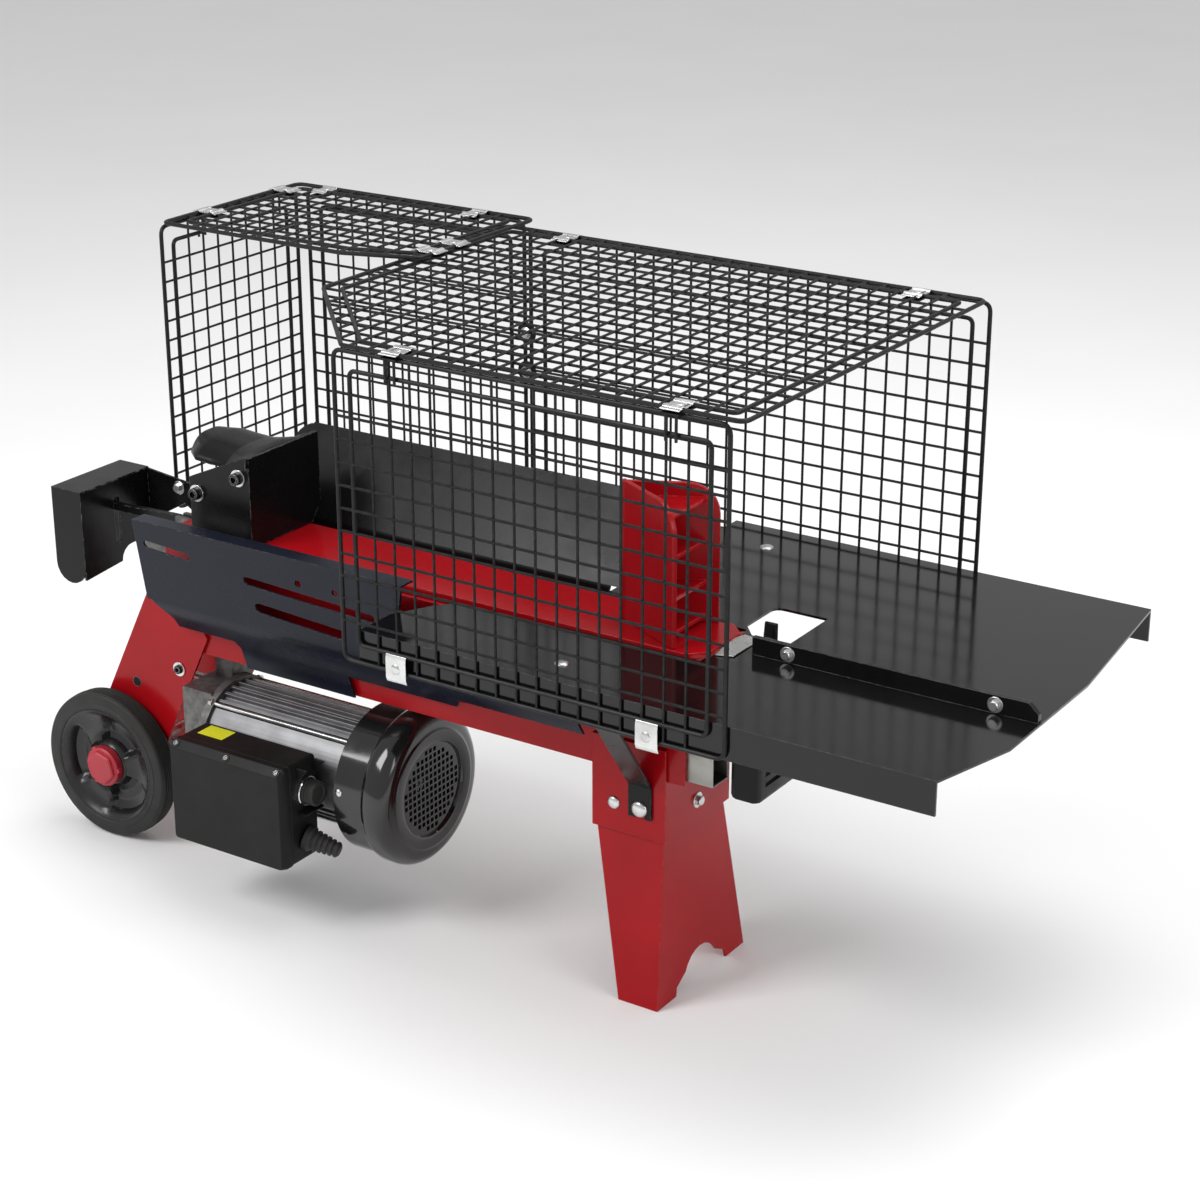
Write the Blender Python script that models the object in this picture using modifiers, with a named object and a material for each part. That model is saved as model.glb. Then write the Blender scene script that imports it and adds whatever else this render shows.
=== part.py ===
"""Electric horizontal log splitter: a ram pushes a log along a beam onto a fixed wedge, inside a mesh cage.

Units are metres. Machine axes: +X runs along the beam from the pusher to the wedge, +Y to the far side,
+Z up. Machine x = 0 is the wedge's cutting edge, machine y = 0 the beam's centre line, z = 0 the ground.
Everything hangs on one empty, which puts the middle of the whole machine's footprint at the world origin.
"""
import math

import bmesh
import bpy
from mathutils import Matrix, Vector

# ---- driving dimensions -------------------------------------------------------------------------
GAP = 0.0003            # clearance kept between touching pieces
SHEET = 0.003           # folded sheet thickness

BEAM_HALF = 0.0625      # half of the beam's width
BEAM_X0 = -0.585
BEAM_X1 = 0.121
BEAM_BOTTOM = 0.259
BEAM_TOP = 0.396
BEAM_WALL = 0.004
TRACK_HALF = 0.0495     # the raised track that the log lies on
TRACK_TOP = 0.403
TRACK_X1 = 0.130
SLOT_IN = 0.0512        # guide slots in the beam's shoulders
SLOT_OUT = 0.0572
SLOT_X0 = -0.575
SLOT_X1 = -0.050

WEDGE_TOP = 0.558
WEDGE_LENGTH = 0.094
WEDGE_HALF = 0.048

PUSH_FACE_X = -0.461    # face that meets the log, ram home
PUSH_FAR = 0.068        # the push plate reaches past its far cheek
CYLINDER_Z = 0.328

TABLE_TOP = 0.3993
TABLE_X1 = 0.487
NEAR_EDGE = -0.175
FAR_EDGE = 0.339
FLANGE_DROP = 0.037     # height of the tables' outer flanges

WHEEL_X = -0.677
WHEEL_R = 0.093
WHEEL_IN = 0.0684       # inner face of a wheel
WHEEL_OUT = 0.1010
RIM_R = 0.0730           # where the tyre sits on the hub
CAP_R = 0.0250

MOTOR_Y = -0.050
MOTOR_Z = 0.163
BODY_R = 0.066
COVER_R = 0.0915

ROD = 0.005             # perimeter rods of the cage
WIRE = 0.003            # cross wires of the cage
ROD_STEP = 0.020        # outer rod to inner rod
CELL = 0.105            # widest wire spacing here; the real mesh is finer

GUARD_X0 = -0.770
TOP_Z = 0.7102          # middle of the cage's large top panel
REAR_TOP = 0.7167
FOOTPRINT_SHIFT = (0.1415, -0.07965, 0.0)

SEGMENTS = 32

# ---- scene --------------------------------------------------------------------------------------
for old in list(bpy.data.objects):
    bpy.data.objects.remove(old, do_unlink=True)


def collection(name):
    made = bpy.data.collections.new(name)
    bpy.context.scene.collection.children.link(made)
    return made


PARTS = collection("log_splitter")
CUTTERS = collection("cutters")

MACHINE = bpy.data.objects.new("machine_frame", None)
MACHINE.location = FOOTPRINT_SHIFT
PARTS.objects.link(MACHINE)


def material(name, color, roughness, metallic=0.0):
    made = bpy.data.materials.new(name)
    made.use_nodes = True
    shader = made.node_tree.nodes["Principled BSDF"]
    shader.inputs["Base Color"].default_value = (*color, 1.0)
    shader.inputs["Roughness"].default_value = roughness
    shader.inputs["Metallic"].default_value = metallic
    return made


RED = (0.36, 0.012, 0.018)
BLACK = (0.018, 0.018, 0.019)
ZINC = (0.62, 0.63, 0.62)
ALUMINIUM = (0.42, 0.42, 0.41)
STEEL = (0.45, 0.45, 0.46)


# ---- object helpers -----------------------------------------------------------------------------
def place(obj, color, roughness=0.4, metallic=0.0, parent=MACHINE):
    """Put a finished piece in the parts collection with its own material."""
    for owner in list(obj.users_collection):
        owner.objects.unlink(obj)
    PARTS.objects.link(obj)
    obj.data.materials.clear()
    obj.data.materials.append(material(obj.name, color, roughness, metallic))
    obj.parent = parent
    return obj


def mesh_object(name, mesh):
    obj = bpy.data.objects.new(name, mesh)
    CUTTERS.objects.link(obj)
    return obj


def box(name, low, high, bevel=0.0):
    """A box between two corners, its origin at its middle."""
    mesh = bpy.data.meshes.new(name)
    form = bmesh.new()
    bmesh.ops.create_cube(form, size=1.0)
    size = [b - a for a, b in zip(low, high)]
    bmesh.ops.scale(form, vec=size, verts=form.verts)
    form.to_mesh(mesh)
    form.free()
    obj = mesh_object(name, mesh)
    obj.location = [(a + b) / 2 for a, b in zip(low, high)]
    if bevel:
        edge = obj.modifiers.new("Bevel", "BEVEL")
        edge.width = bevel
        edge.segments = 2
    return obj


TURNS = {
    "X": (0.0, math.pi / 2, 0.0),
    "Y": (-math.pi / 2, 0.0, 0.0),
    "Z": (0.0, 0.0, 0.0),
}
PLANES = {
    "XY": Matrix.Identity(4),
    "XZ": Matrix(((1, 0, 0, 0), (0, 0, -1, 0), (0, 1, 0, 0), (0, 0, 0, 1))),
    "YZ": Matrix(((0, 0, 1, 0), (1, 0, 0, 0), (0, 1, 0, 0), (0, 0, 0, 1))),
}


def rod(name, axis, centre, radius, length, segments=SEGMENTS):
    """A closed cylinder about its middle."""
    mesh = bpy.data.meshes.new(name)
    form = bmesh.new()
    bmesh.ops.create_cone(form, cap_ends=True, segments=segments, radius1=radius, radius2=radius, depth=length)
    form.to_mesh(mesh)
    form.free()
    obj = mesh_object(name, mesh)
    obj.rotation_euler = TURNS[axis]
    obj.location = centre
    smooth(obj)
    return obj


def smooth(obj):
    obj.data.shade_smooth()
    obj.data.set_sharp_from_angle(angle=math.radians(35))


def turned(name, axis, centre, profile, steps=SEGMENTS, closed=False):
    """A profile of (radius, height) points turned about an axis; it runs down its outer side."""
    mesh = bpy.data.meshes.new(name)
    points = [(radius, 0.0, height) for radius, height in profile]
    links = [(i, i + 1) for i in range(len(points) - 1)]
    if closed:
        links.append((len(points) - 1, 0))
    mesh.from_pydata(points, links, [])
    obj = mesh_object(name, mesh)
    spin = obj.modifiers.new("Screw", "SCREW")
    spin.steps = steps
    spin.render_steps = steps
    spin.use_merge_vertices = True
    spin.merge_threshold = 0.00005
    obj = solid_mesh(obj)
    smooth(obj)
    obj.rotation_euler = TURNS[axis]
    obj.location = centre
    return obj


def plate(name, plane, outline, low, high, holes=(), as_mesh=False):
    """A flat outline with holes, filled and given thickness from low to high across its plane."""
    curve = bpy.data.curves.new(name, "CURVE")
    curve.dimensions = "2D"
    curve.fill_mode = "BOTH"
    curve.extrude = (high - low) / 2
    for ring in (outline, *holes):
        spline = curve.splines.new("POLY")
        spline.points.add(len(ring) - 1)
        for point, (u, v) in zip(spline.points, ring):
            point.co = (u, v, 0.0, 1.0)
        spline.use_cyclic_u = True
    obj = mesh_object(name, curve)
    middle = (low + high) / 2
    across = {"XY": (0, 0, middle), "XZ": (0, middle, 0), "YZ": (middle, 0, 0)}[plane]
    obj.matrix_world = Matrix.Translation(across) @ PLANES[plane]
    return solid_mesh(obj) if as_mesh else obj


def solid_mesh(source):
    """Turn a curve or a turned profile into a closed mesh, so that it can be cut or joined."""
    name = source.name
    bpy.context.view_layer.update()
    found = source.evaluated_get(bpy.context.evaluated_depsgraph_get())
    mesh = bpy.data.meshes.new_from_object(found)
    form = bmesh.new()
    form.from_mesh(mesh)
    bmesh.ops.remove_doubles(form, verts=form.verts, dist=0.00001)
    form.to_mesh(mesh)
    form.free()
    where = source.matrix_world.copy()
    bpy.data.objects.remove(source)
    obj = mesh_object(name, mesh)
    obj.matrix_world = where
    return obj


def boolean(obj, tool, operation):
    """Cut a tool from a piece, or join it on; the tool stays hidden among the cutters."""
    tool.name = "tool_" + tool.name
    tool.parent = MACHINE
    tool.hide_render = True
    tool.display_type = "WIRE"
    step = obj.modifiers.new(operation.title(), "BOOLEAN")
    step.operation = operation
    step.solver = "EXACT"
    step.object = tool


def cut(obj, *tools):
    for tool in tools:
        boolean(obj, tool, "DIFFERENCE")
    return obj


def join(obj, *tools):
    for tool in tools:
        boolean(obj, tool, "UNION")
    return obj


# ---- outline helpers ----------------------------------------------------------------------------
def rectangle(u0, v0, u1, v1):
    return [(u0, v0), (u1, v0), (u1, v1), (u0, v1)]


def arc(centre, radius, start, end, steps):
    """Points on an arc, from one angle to another in degrees."""
    angles = [math.radians(start + (end - start) * i / steps) for i in range(steps + 1)]
    return [(centre[0] + radius * math.cos(a), centre[1] + radius * math.sin(a)) for a in angles]


def slot(u0, v0, u1, v1, width):
    """A round-ended slot between two centres."""
    lean = math.degrees(math.atan2(v1 - v0, u1 - u0))
    far_end = arc((u1, v1), width / 2, lean - 90, lean + 90, 6)
    near_end = arc((u0, v0), width / 2, lean + 90, lean + 270, 6)
    return far_end + near_end


def folded(path, thickness):
    """A closed outline that follows a bent path, with its thickness on the left-hand side."""
    inner = []
    for i, point in enumerate(path):
        here = Vector(point)
        before = (here - Vector(path[i - 1])).normalized() if i else None
        after = (Vector(path[i + 1]) - here).normalized() if i < len(path) - 1 else None
        first = before or after
        second = after or before
        side = Vector((-first.y - second.y, first.x + second.x)).normalized()
        reach = thickness / side.dot(Vector((-first.y, first.x)))
        inner.append(tuple(here + side * reach))
    return list(path) + inner[::-1]


def mirror_y(points):
    return [(-u, v) for u, v in points][::-1]


# ---- beam and track -----------------------------------------------------------------------------
def main_beam():
    wall = BEAM_WALL
    outer = rectangle(-BEAM_HALF, BEAM_BOTTOM, BEAM_HALF, BEAM_TOP)
    inner = rectangle(-BEAM_HALF + wall, BEAM_BOTTOM + wall, BEAM_HALF - wall, BEAM_TOP - wall)
    beam = plate("main_beam", "YZ", outer, BEAM_X0, BEAM_X1, [inner], as_mesh=True)
    middle = (SLOT_IN + SLOT_OUT) / 2
    for side in (-1, 1):
        line = slot(SLOT_X0 + 0.003, side * middle, SLOT_X1 - 0.003, side * middle, SLOT_OUT - SLOT_IN)
        cut(beam, plate(f"slot{side}", "XY", line, BEAM_TOP - 2 * wall, BEAM_TOP + wall, as_mesh=True))
    place(beam, RED, 0.3)


def track():
    clip = 0.018
    outline = [
        (BEAM_X0, -TRACK_HALF), (TRACK_X1 - clip, -TRACK_HALF), (TRACK_X1, -TRACK_HALF + clip),
        (TRACK_X1, TRACK_HALF - clip), (TRACK_X1 - clip, TRACK_HALF), (BEAM_X0, TRACK_HALF),
    ]
    place(plate("track", "XY", outline, BEAM_TOP + GAP, TRACK_TOP), RED, 0.25)


def beam_end():
    outline = rectangle(-BEAM_HALF, BEAM_BOTTOM, BEAM_HALF, TRACK_TOP)
    thick = 0.004
    high = BEAM_X0 - GAP
    hole = arc((0.042, 0.288), 0.0075, 0, 360 - 22.5, 15)
    port = arc((-0.010, 0.300), 0.0070, 0, 360 - 22.5, 15)
    place(plate("beam_end_plate", "YZ", outline, high - thick, high, [hole, port]), RED, 0.35)
    profile = [
        (0.0, 0.018), (0.010, 0.018), (0.013, 0.015), (0.013, 0.0), (0.0070, 0.0),
        (0.0070, -0.010), (0.0025, -0.010), (0.0025, -0.060), (0.0, -0.060),
    ]
    cap = turned("oil_filler_cap", "X", (high - thick - GAP, 0.042, 0.288), profile, 20)
    cap.rotation_euler = (0.0, -math.pi / 2, 0.0)
    place(cap, BLACK, 0.5)


# ---- wedge --------------------------------------------------------------------------------------
def wedge():
    """Two plates that meet at the cutting edge, with four cross gussets between them."""
    foot = TRACK_TOP + GAP
    thick = 0.006
    lean = math.atan2(WEDGE_HALF, WEDGE_LENGTH)
    length = math.hypot(WEDGE_LENGTH, WEDGE_HALF)
    round_top = 0.034
    face = [(0.0, foot), (length, foot)]
    face += arc((length - round_top, WEDGE_TOP - round_top), round_top, 0, 90, 6)
    face += [(0.0, WEDGE_TOP)]
    cheeks = []
    for side in (-1, 1):
        cheek = plate(f"cheek{side}", "XZ", face, -thick / 2, thick / 2, as_mesh=True)
        inward = Matrix.Translation((0.0, -side * thick / 2, 0.0))
        cheek.matrix_world = Matrix.Rotation(side * lean, 4, "Z") @ inward @ cheek.matrix_world
        cheeks.append(cheek)
    blade = cheeks[0]
    blade.name = "wedge"
    join(blade, cheeks[1])
    for i, height in enumerate((0.408, 0.446, 0.492, 0.538)):
        tip = 0.022
        back = WEDGE_LENGTH - 0.010
        spread = math.tan(lean)
        web = [
            (tip, -tip * spread + 0.002), (back, -back * spread + 0.002),
            (back, back * spread - 0.002), (tip, tip * spread - 0.002),
        ]
        join(blade, plate(f"gusset{i}", "XY", web, height, height + 0.005, as_mesh=True))
    nose = rectangle(-0.01, -0.03, 0.0, 0.03)
    cut(blade, plate("nose", "XY", nose, foot - 0.01, WEDGE_TOP + 0.01, as_mesh=True))
    place(blade, RED, 0.3)


# ---- legs and wheels ----------------------------------------------------------------------------
def leg_socket():
    """Folded bracket round the beam's end, closed only towards the wedge below the beam."""
    inside = BEAM_HALF + GAP
    outside = inside + 0.004
    x0, x1 = 0.008, 0.100
    bottom, top = 0.188, 0.296
    shape = [
        (x0, -outside), (x1, -outside), (x1, outside), (x0, outside),
        (x0, inside), (x1 - 0.004, inside), (x1 - 0.004, -inside), (x0, -inside),
    ]
    socket = plate("leg_socket", "XY", shape, bottom, top, as_mesh=True)
    cut(socket, box("beam_way", (x1 - 0.01, -inside, BEAM_BOTTOM - GAP), (x1 + 0.01, inside, top + 0.01)))
    place(socket, RED, 0.35)


def front_leg():
    """A three-sided channel: it tapers in side view, and its feet spread across."""
    thick = 0.003
    levels = [
        # height, half width, back edge x, front face x
        (BEAM_BOTTOM - GAP, BEAM_HALF - GAP, 0.012, 0.0957),
        (0.185, BEAM_HALF - GAP, 0.012, 0.0957),
        (0.000, 0.0920, 0.058, 0.1080),
    ]
    mesh = bpy.data.meshes.new("front_leg")
    form = bmesh.new()
    rings = []
    for height, half, back, front in levels:
        shape = [
            (back, -half), (front, -half), (front, half), (back, half),
            (back, half - thick), (front - thick, half - thick),
            (front - thick, -half + thick), (back, -half + thick),
        ]
        rings.append([form.verts.new((x, y, height)) for x, y in shape])
    for upper, lower in zip(rings, rings[1:]):
        for i in range(8):
            j = (i + 1) % 8
            form.faces.new((upper[i], lower[i], lower[j], upper[j]))
    for a, b, c, d in ((0, 1, 6, 7), (1, 2, 5, 6), (2, 3, 4, 5)):
        form.faces.new([rings[0][k] for k in (a, b, c, d)])
        form.faces.new([rings[-1][k] for k in (d, c, b, a)])
    bmesh.ops.recalc_face_normals(form, faces=form.faces)
    form.to_mesh(mesh)
    form.free()
    leg = mesh_object("front_leg", mesh)
    arch = [(-0.055, -0.01), (0.055, -0.01), (0.050, 0.010)]
    arch += arc((0.0, 0.002), 0.036, 30, 150, 8)
    arch += [(-0.050, 0.010)]
    cut(leg, plate("arch", "YZ", arch, 0.09, 0.13, as_mesh=True))
    place(leg, RED, 0.35)


def wheel_legs():
    low = 0.0520
    outline = [(-0.612, 0.335), (-0.690, 0.183)]
    outline += arc((WHEEL_X, WHEEL_R), low, 152, 333, 12)
    outline += [(-0.595, 0.146), (-0.529, 0.280), (-0.536, 0.293), (-0.536, 0.335)]
    axle_hole = arc((WHEEL_X, WHEEL_R), 0.0084, 0, 345, 23)
    spare_hole = arc((-0.645, 0.200), 0.006, 0, 330, 11)
    for name, side in (("near", -1), ("far", 1)):
        inside = BEAM_HALF + GAP
        faces = sorted((side * inside, side * (inside + 0.004)))
        leg = plate(f"wheel_leg_{name}", "XZ", outline, *faces, [axle_hole, spare_hole])
        place(leg, RED, 0.35)
    length = 2 * (WHEEL_OUT - 0.001)
    place(rod("wheel_axle", "Y", (WHEEL_X, 0.0, WHEEL_R), 0.008, length), ZINC, 0.35, 1.0)


def wheels():
    """Each wheel turns about its own empty on the axle line: tyre, dished hub and cap."""
    half = (WHEEL_OUT - WHEEL_IN) / 2
    grooves = 3
    for name, side in (("near", -1), ("far", 1)):
        pivot = bpy.data.objects.new(f"wheel_pivot_{name}", None)
        pivot.location = (WHEEL_X, side * (WHEEL_IN + half), WHEEL_R)
        pivot.parent = MACHINE
        PARTS.objects.link(pivot)
        turn = (-side * math.pi / 2, 0.0, 0.0)

        shoulder = half - 0.0060
        tread = [(RIM_R, half - 0.001), (RIM_R + 0.009, half - 0.001), (WHEEL_R - 0.003, half - 0.004)]
        pitch = 2 * shoulder / grooves
        for i in range(grooves):
            top = shoulder - i * pitch
            tread += [(WHEEL_R, top - 0.0008), (WHEEL_R, top - pitch * 0.7)]
            tread.append((WHEEL_R - 0.002, top - pitch * 0.8))
        tread += [(WHEEL_R - 0.003, -half + 0.004), (RIM_R + 0.009, -half + 0.001), (RIM_R, -half + 0.001)]
        tyre = turned(f"wheel_tyre_{name}", "Y", (0, 0, 0), tread, SEGMENTS, closed=True)

        bore = 0.0082
        dish = [
            (bore, half - 0.006), (0.027, half - 0.006), (0.031, half - 0.010), (0.059, half - 0.014),
            (0.065, half), (RIM_R - GAP, half), (RIM_R - GAP, -half), (0.063, -half),
            (0.058, -0.005), (0.027, -0.005), (0.020, -half), (bore, -half),
        ]
        hub = turned(f"wheel_hub_{name}", "Y", (0, 0, 0), dish, SEGMENTS, closed=True)

        cup = [
            (0.0, half + 0.009), (0.019, half + 0.009), (CAP_R, half + 0.006), (CAP_R, half - 0.0057),
            (bore, half - 0.0057), (bore, half + 0.001), (0.0, half + 0.001),
        ]
        cap = turned(f"wheel_cap_{name}", "Y", (0, 0, 0), cup, 24)
        for piece, color, rough in ((tyre, BLACK, 0.7), (hub, BLACK, 0.5), (cap, RED, 0.4)):
            piece.rotation_euler = turn
            place(piece, color, rough, parent=pivot)


# ---- cradle side plates -------------------------------------------------------------------------
SKIRT = 0.0672          # the skirts stand off the beam by the thickness of the wheel legs


def near_side_plate():
    """Low slotted plate with a lip, and a skirt that comes back to the beam."""
    path = [(-SKIRT, 0.260), (-SKIRT, 0.284), (-0.0960, 0.328), (-0.1130, 0.430), (-0.0950, 0.430)]
    side = plate("near_side_plate", "YZ", folded(path, SHEET), -0.588, 0.005, as_mesh=True)
    away = 0.150
    end = [(-0.60, 0.25), (-0.562, 0.25), (-0.562, 0.306), (-0.581, 0.330), (-0.60, 0.330)]
    low_left = [(-0.60, 0.25), (-0.462, 0.25), (-0.478, 0.293), (-0.60, 0.293)]
    low_right = [(-0.305, 0.25), (0.02, 0.25), (0.02, 0.296), (-0.158, 0.296), (-0.166, 0.284), (-0.318, 0.284)]
    above = [(-0.2125, 0.388), (0.02, 0.388), (0.02, 0.45), (-0.1980, 0.45), (-0.2105, 0.402)]
    for name, ring in (("end", end), ("low_left", low_left), ("low_right", low_right), ("above", above)):
        cut(side, plate(f"near_{name}", "XZ", ring, -away, -0.055, as_mesh=True))
    for name, x0, z0, x1, z1, width in (
        ("slot_a", -0.572, 0.404, -0.512, 0.400, 0.009),
        ("slot_b", -0.426, 0.389, -0.252, 0.381, 0.010),
        ("slot_c", -0.414, 0.357, -0.300, 0.350, 0.012),
    ):
        cut(side, plate(f"near_{name}", "XZ", slot(x0, z0, x1, z1, width), -away, -0.085, as_mesh=True))
    for i, x in enumerate((-0.350, -0.298)):
        hole = arc((x, 0.402), 0.0045, 0, 330, 11)
        cut(side, plate(f"near_hole{i}", "XZ", hole, -away, -0.085, as_mesh=True))
    place(side, (0.03, 0.032, 0.045), 0.25)


def far_side_plate():
    """Tall sloped plate that stops logs rolling off the far side."""
    path = [(0.1400, 0.492), (0.0700, 0.404), (SKIRT, 0.398), (SKIRT, 0.284)]
    side = plate("far_side_plate", "YZ", folded(path, SHEET), -0.545, -0.018, as_mesh=True)
    corner = [(-0.56, 0.470), (-0.545, 0.470)]
    corner += arc((-0.525, 0.470), 0.020, 180, 90, 5)
    corner += [(-0.525, 0.51), (-0.56, 0.51)]
    over_table = rectangle(-0.058, 0.27, 0.0, TABLE_TOP + 0.0042)
    for name, ring in (("corner", corner), ("over_table", over_table)):
        cut(side, plate(f"far_{name}", "XZ", ring, 0.05, 0.18, as_mesh=True))
    place(side, BLACK, 0.25)


# ---- tables -------------------------------------------------------------------------------------
def near_table():
    top = TABLE_TOP
    under = top - SHEET
    outline = [
        (-0.215, NEAR_EDGE), (0.460, NEAR_EDGE), (TABLE_X1, -0.072), (TABLE_X1, -0.002), (0.134, -0.002),
        (0.134, -0.050), (-0.045, -0.050), (-0.045, -0.060), (-0.178, -0.060), (-0.190, -0.073),
        (-0.215, -0.121),
    ]
    table = plate("near_table", "XY", outline, under, top, as_mesh=True)
    flange_foot = top - FLANGE_DROP
    join(table, box("near_flange", (-0.215, NEAR_EDGE, flange_foot), (0.460, NEAR_EDGE + SHEET, top - 0.001)))
    upright = [(0.165, under + 0.001), (0.485, under + 0.001), (0.485, 0.408), (0.474, 0.4185), (0.165, 0.4185)]
    join(table, plate("near_upright", "XZ", upright, -0.002 - SHEET, -0.002, as_mesh=True))
    place(table, BLACK, 0.2)


def far_table():
    top = TABLE_TOP
    under = top - SHEET
    outline = [
        (-0.055, 0.050), (0.126, 0.050), (0.1335, 0.034), (0.1335, -0.0015), (TABLE_X1, -0.0015),
        (TABLE_X1, 0.111), (0.462, FAR_EDGE), (-0.055, FAR_EDGE),
    ]
    window = [(0.139, 0.040), (0.184, 0.036), (0.184, 0.124)]
    window += arc((0.130, 0.114), 0.010, 90, 180, 4) + [(0.120, 0.062)]
    table = plate("far_table", "XY", outline, under, top, [window], as_mesh=True)
    flange_foot = top - FLANGE_DROP
    join(table, box("far_flange", (-0.055, FAR_EDGE - SHEET, flange_foot), (0.462, FAR_EDGE, top - 0.001)))
    upright = [(0.165, under + 0.001), (0.485, under + 0.001), (0.485, 0.408), (0.474, 0.4185), (0.165, 0.4185)]
    join(table, plate("far_upright", "XZ", upright, -0.0015, -0.0015 + SHEET, as_mesh=True))
    place(table, BLACK, 0.2)


def table_struts():
    """Bent flat bars from the leg socket up to the tables; they lean opposite ways as they rise."""
    wide = 0.029
    socket_face = BEAM_HALF + 2 * GAP + 0.004
    near_top = -NEAR_EDGE - SHEET - GAP
    runs = (
        ("near", -1, [(socket_face, 0.212), (socket_face, 0.250), (near_top - SHEET, 0.362),
                      (near_top - SHEET, 0.392)]),
        ("far", 1, [(socket_face, 0.212), (socket_face, 0.250), (0.190, 0.3925), (0.220, 0.3925)]),
    )
    for name, side, path in runs:
        ring = folded(path, -SHEET)
        if side < 0:
            ring = mirror_y(ring)
        bar = plate(f"table_strut_{name}", "YZ", ring, -wide / 2, wide / 2, as_mesh=True)
        if name == "near":
            notch = rectangle(-0.006, 0.20, 0.006, 0.222)
            cutter = plate("strut_notch", "XZ", notch, -0.09, -0.05, as_mesh=True)
            cutter.location.x += 0.070
            cut(bar, cutter)
        bar.location.x += 0.070
        lean(bar, 0.250, 0.392, -side * 0.030)
        place(bar, BLACK, 0.3)


def lean(bar, low, high, shift):
    """Slide a bar's upper points along X in step with their height."""
    for vertex in bar.data.vertices:
        height = (bar.matrix_world @ vertex.co).z
        share = min(max((height - low) / (high - low), 0.0), 1.0)
        vertex.co += bar.matrix_world.inverted().to_3x3() @ Vector((share * shift, 0.0, 0.0))


# ---- wedge end fittings -------------------------------------------------------------------------
def handle_tube():
    low = (-0.0580, BEAM_BOTTOM + BEAM_WALL + GAP)
    high = (-0.0250, 0.3020)
    wall = 0.0025
    inner = rectangle(low[0] + wall, low[1] + wall, high[0] - wall, high[1] - wall)
    tube = plate("handle_tube", "YZ", rectangle(*low, *high), 0.030, 0.152, [inner])
    place(tube, ZINC, 0.45, 0.6)


def lift_handle():
    """Moulded black grip under the tables, open at the back, with finger slits in its outer face."""
    x0, x1 = 0.163, 0.199
    half = 0.0450
    foot = 0.248
    top = TABLE_TOP - SHEET - GAP
    wall = 0.0035
    shell = box("lift_handle", (x0, -half, foot), (x1, half, top), 0.008)
    inside_low, inside_high = (x0 - 0.02, -half + wall, foot + wall), (x1 - wall, half - wall, top - wall)
    hollow = box("grip_hollow", inside_low, inside_high, 0.006)
    cut(shell, hollow)
    for i in range(4):
        height = 0.266 + 0.012 * i
        slit = box(f"slit{i}", (x1 - 0.02, -0.030, height), (x1 + 0.01, 0.034, height + 0.005))
        cut(shell, slit)
    place(shell, BLACK, 0.5)


# ---- lever guard, lever and valve ---------------------------------------------------------------
def lever_guard():
    """Folded guard round the control lever, open towards the operator's end and below."""
    top, foot = 0.422, 0.303
    near, far = -0.060, 0.060
    inner_x = -0.723
    end = [(GUARD_X0, top)]
    middle = (GUARD_X0 + inner_x) / 2
    end += arc((middle, foot + 0.0235), 0.0235, 180, 360, 10)
    end += [(inner_x, top)]
    guard = plate("lever_guard", "XZ", end, near, near + SHEET, as_mesh=True)
    roof = box("guard_roof", (GUARD_X0, near + 0.001, top - SHEET), (inner_x - 0.001, far, top))
    screen = [(near + 0.001, 0.310), (0.004, 0.316)]
    screen += arc((0.022, 0.316), 0.018, 180, 90, 4)
    screen += [(far, 0.334), (far, top - 0.001), (near + 0.001, top - 0.001)]
    lever_way = rectangle(-0.0050, 0.342, 0.0050, 0.4000)
    wall = plate("guard_wall", "YZ", screen, inner_x - SHEET, inner_x, [lever_way], as_mesh=True)
    arm_end = BEAM_X0 - 0.0055
    arm = [
        (inner_x - 0.002, 0.336), (-0.700, 0.366), (-0.665, 0.386), (arm_end, 0.340),
        (arm_end, 0.408), (-0.640, 0.412), (inner_x - 0.002, top - 0.001),
    ]
    arm_plate = plate("guard_arm", "XZ", arm, far - SHEET, far - 0.0005, as_mesh=True)
    foot_tab = box("guard_tab", (arm_end - SHEET, 0.020, 0.340), (arm_end, far - 0.001, 0.402))
    join(guard, roof, wall, arm_plate, foot_tab)
    place(guard, BLACK, 0.3)


LEVER_PIVOT = (-0.6100, 0.0, 0.3880)
SPOOL_X = -0.6400


def control_lever():
    """Sprung lever: pressing its knob down pushes the valve spool in."""
    x, y, z = LEVER_PIVOT
    pivot = bpy.data.objects.new("lever_pivot", None)
    pivot.location = LEVER_PIVOT
    pivot.parent = MACHINE
    PARTS.objects.link(pivot)
    eye = arc((0.0, 0.0), 0.0085, -90, 90, 8)
    reach = 0.1230
    arm = eye + [(-0.020, 0.0085), (-0.085, 0.0055), (-reach, 0.0055)]
    arm += [(-reach, -0.0035), (-0.085, -0.0035), (-0.020, -0.0045)]
    hole = arc((0.0, 0.0), 0.0042, 0, 330, 11)
    lever = plate("control_lever", "XZ", arm, -0.004, 0.004, [hole])
    place(lever, BLACK, 0.35, parent=pivot)
    knob = turned(
        "lever_knob", "X", (-reach - GAP, 0.0, 0.001),
        [(0.0, 0.0), (0.006, 0.0), (0.009, -0.005), (0.0095, -0.018), (0.006, -0.025), (0.0, -0.0265)], 20,
    )
    place(knob, BLACK, 0.45, parent=pivot)


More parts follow.
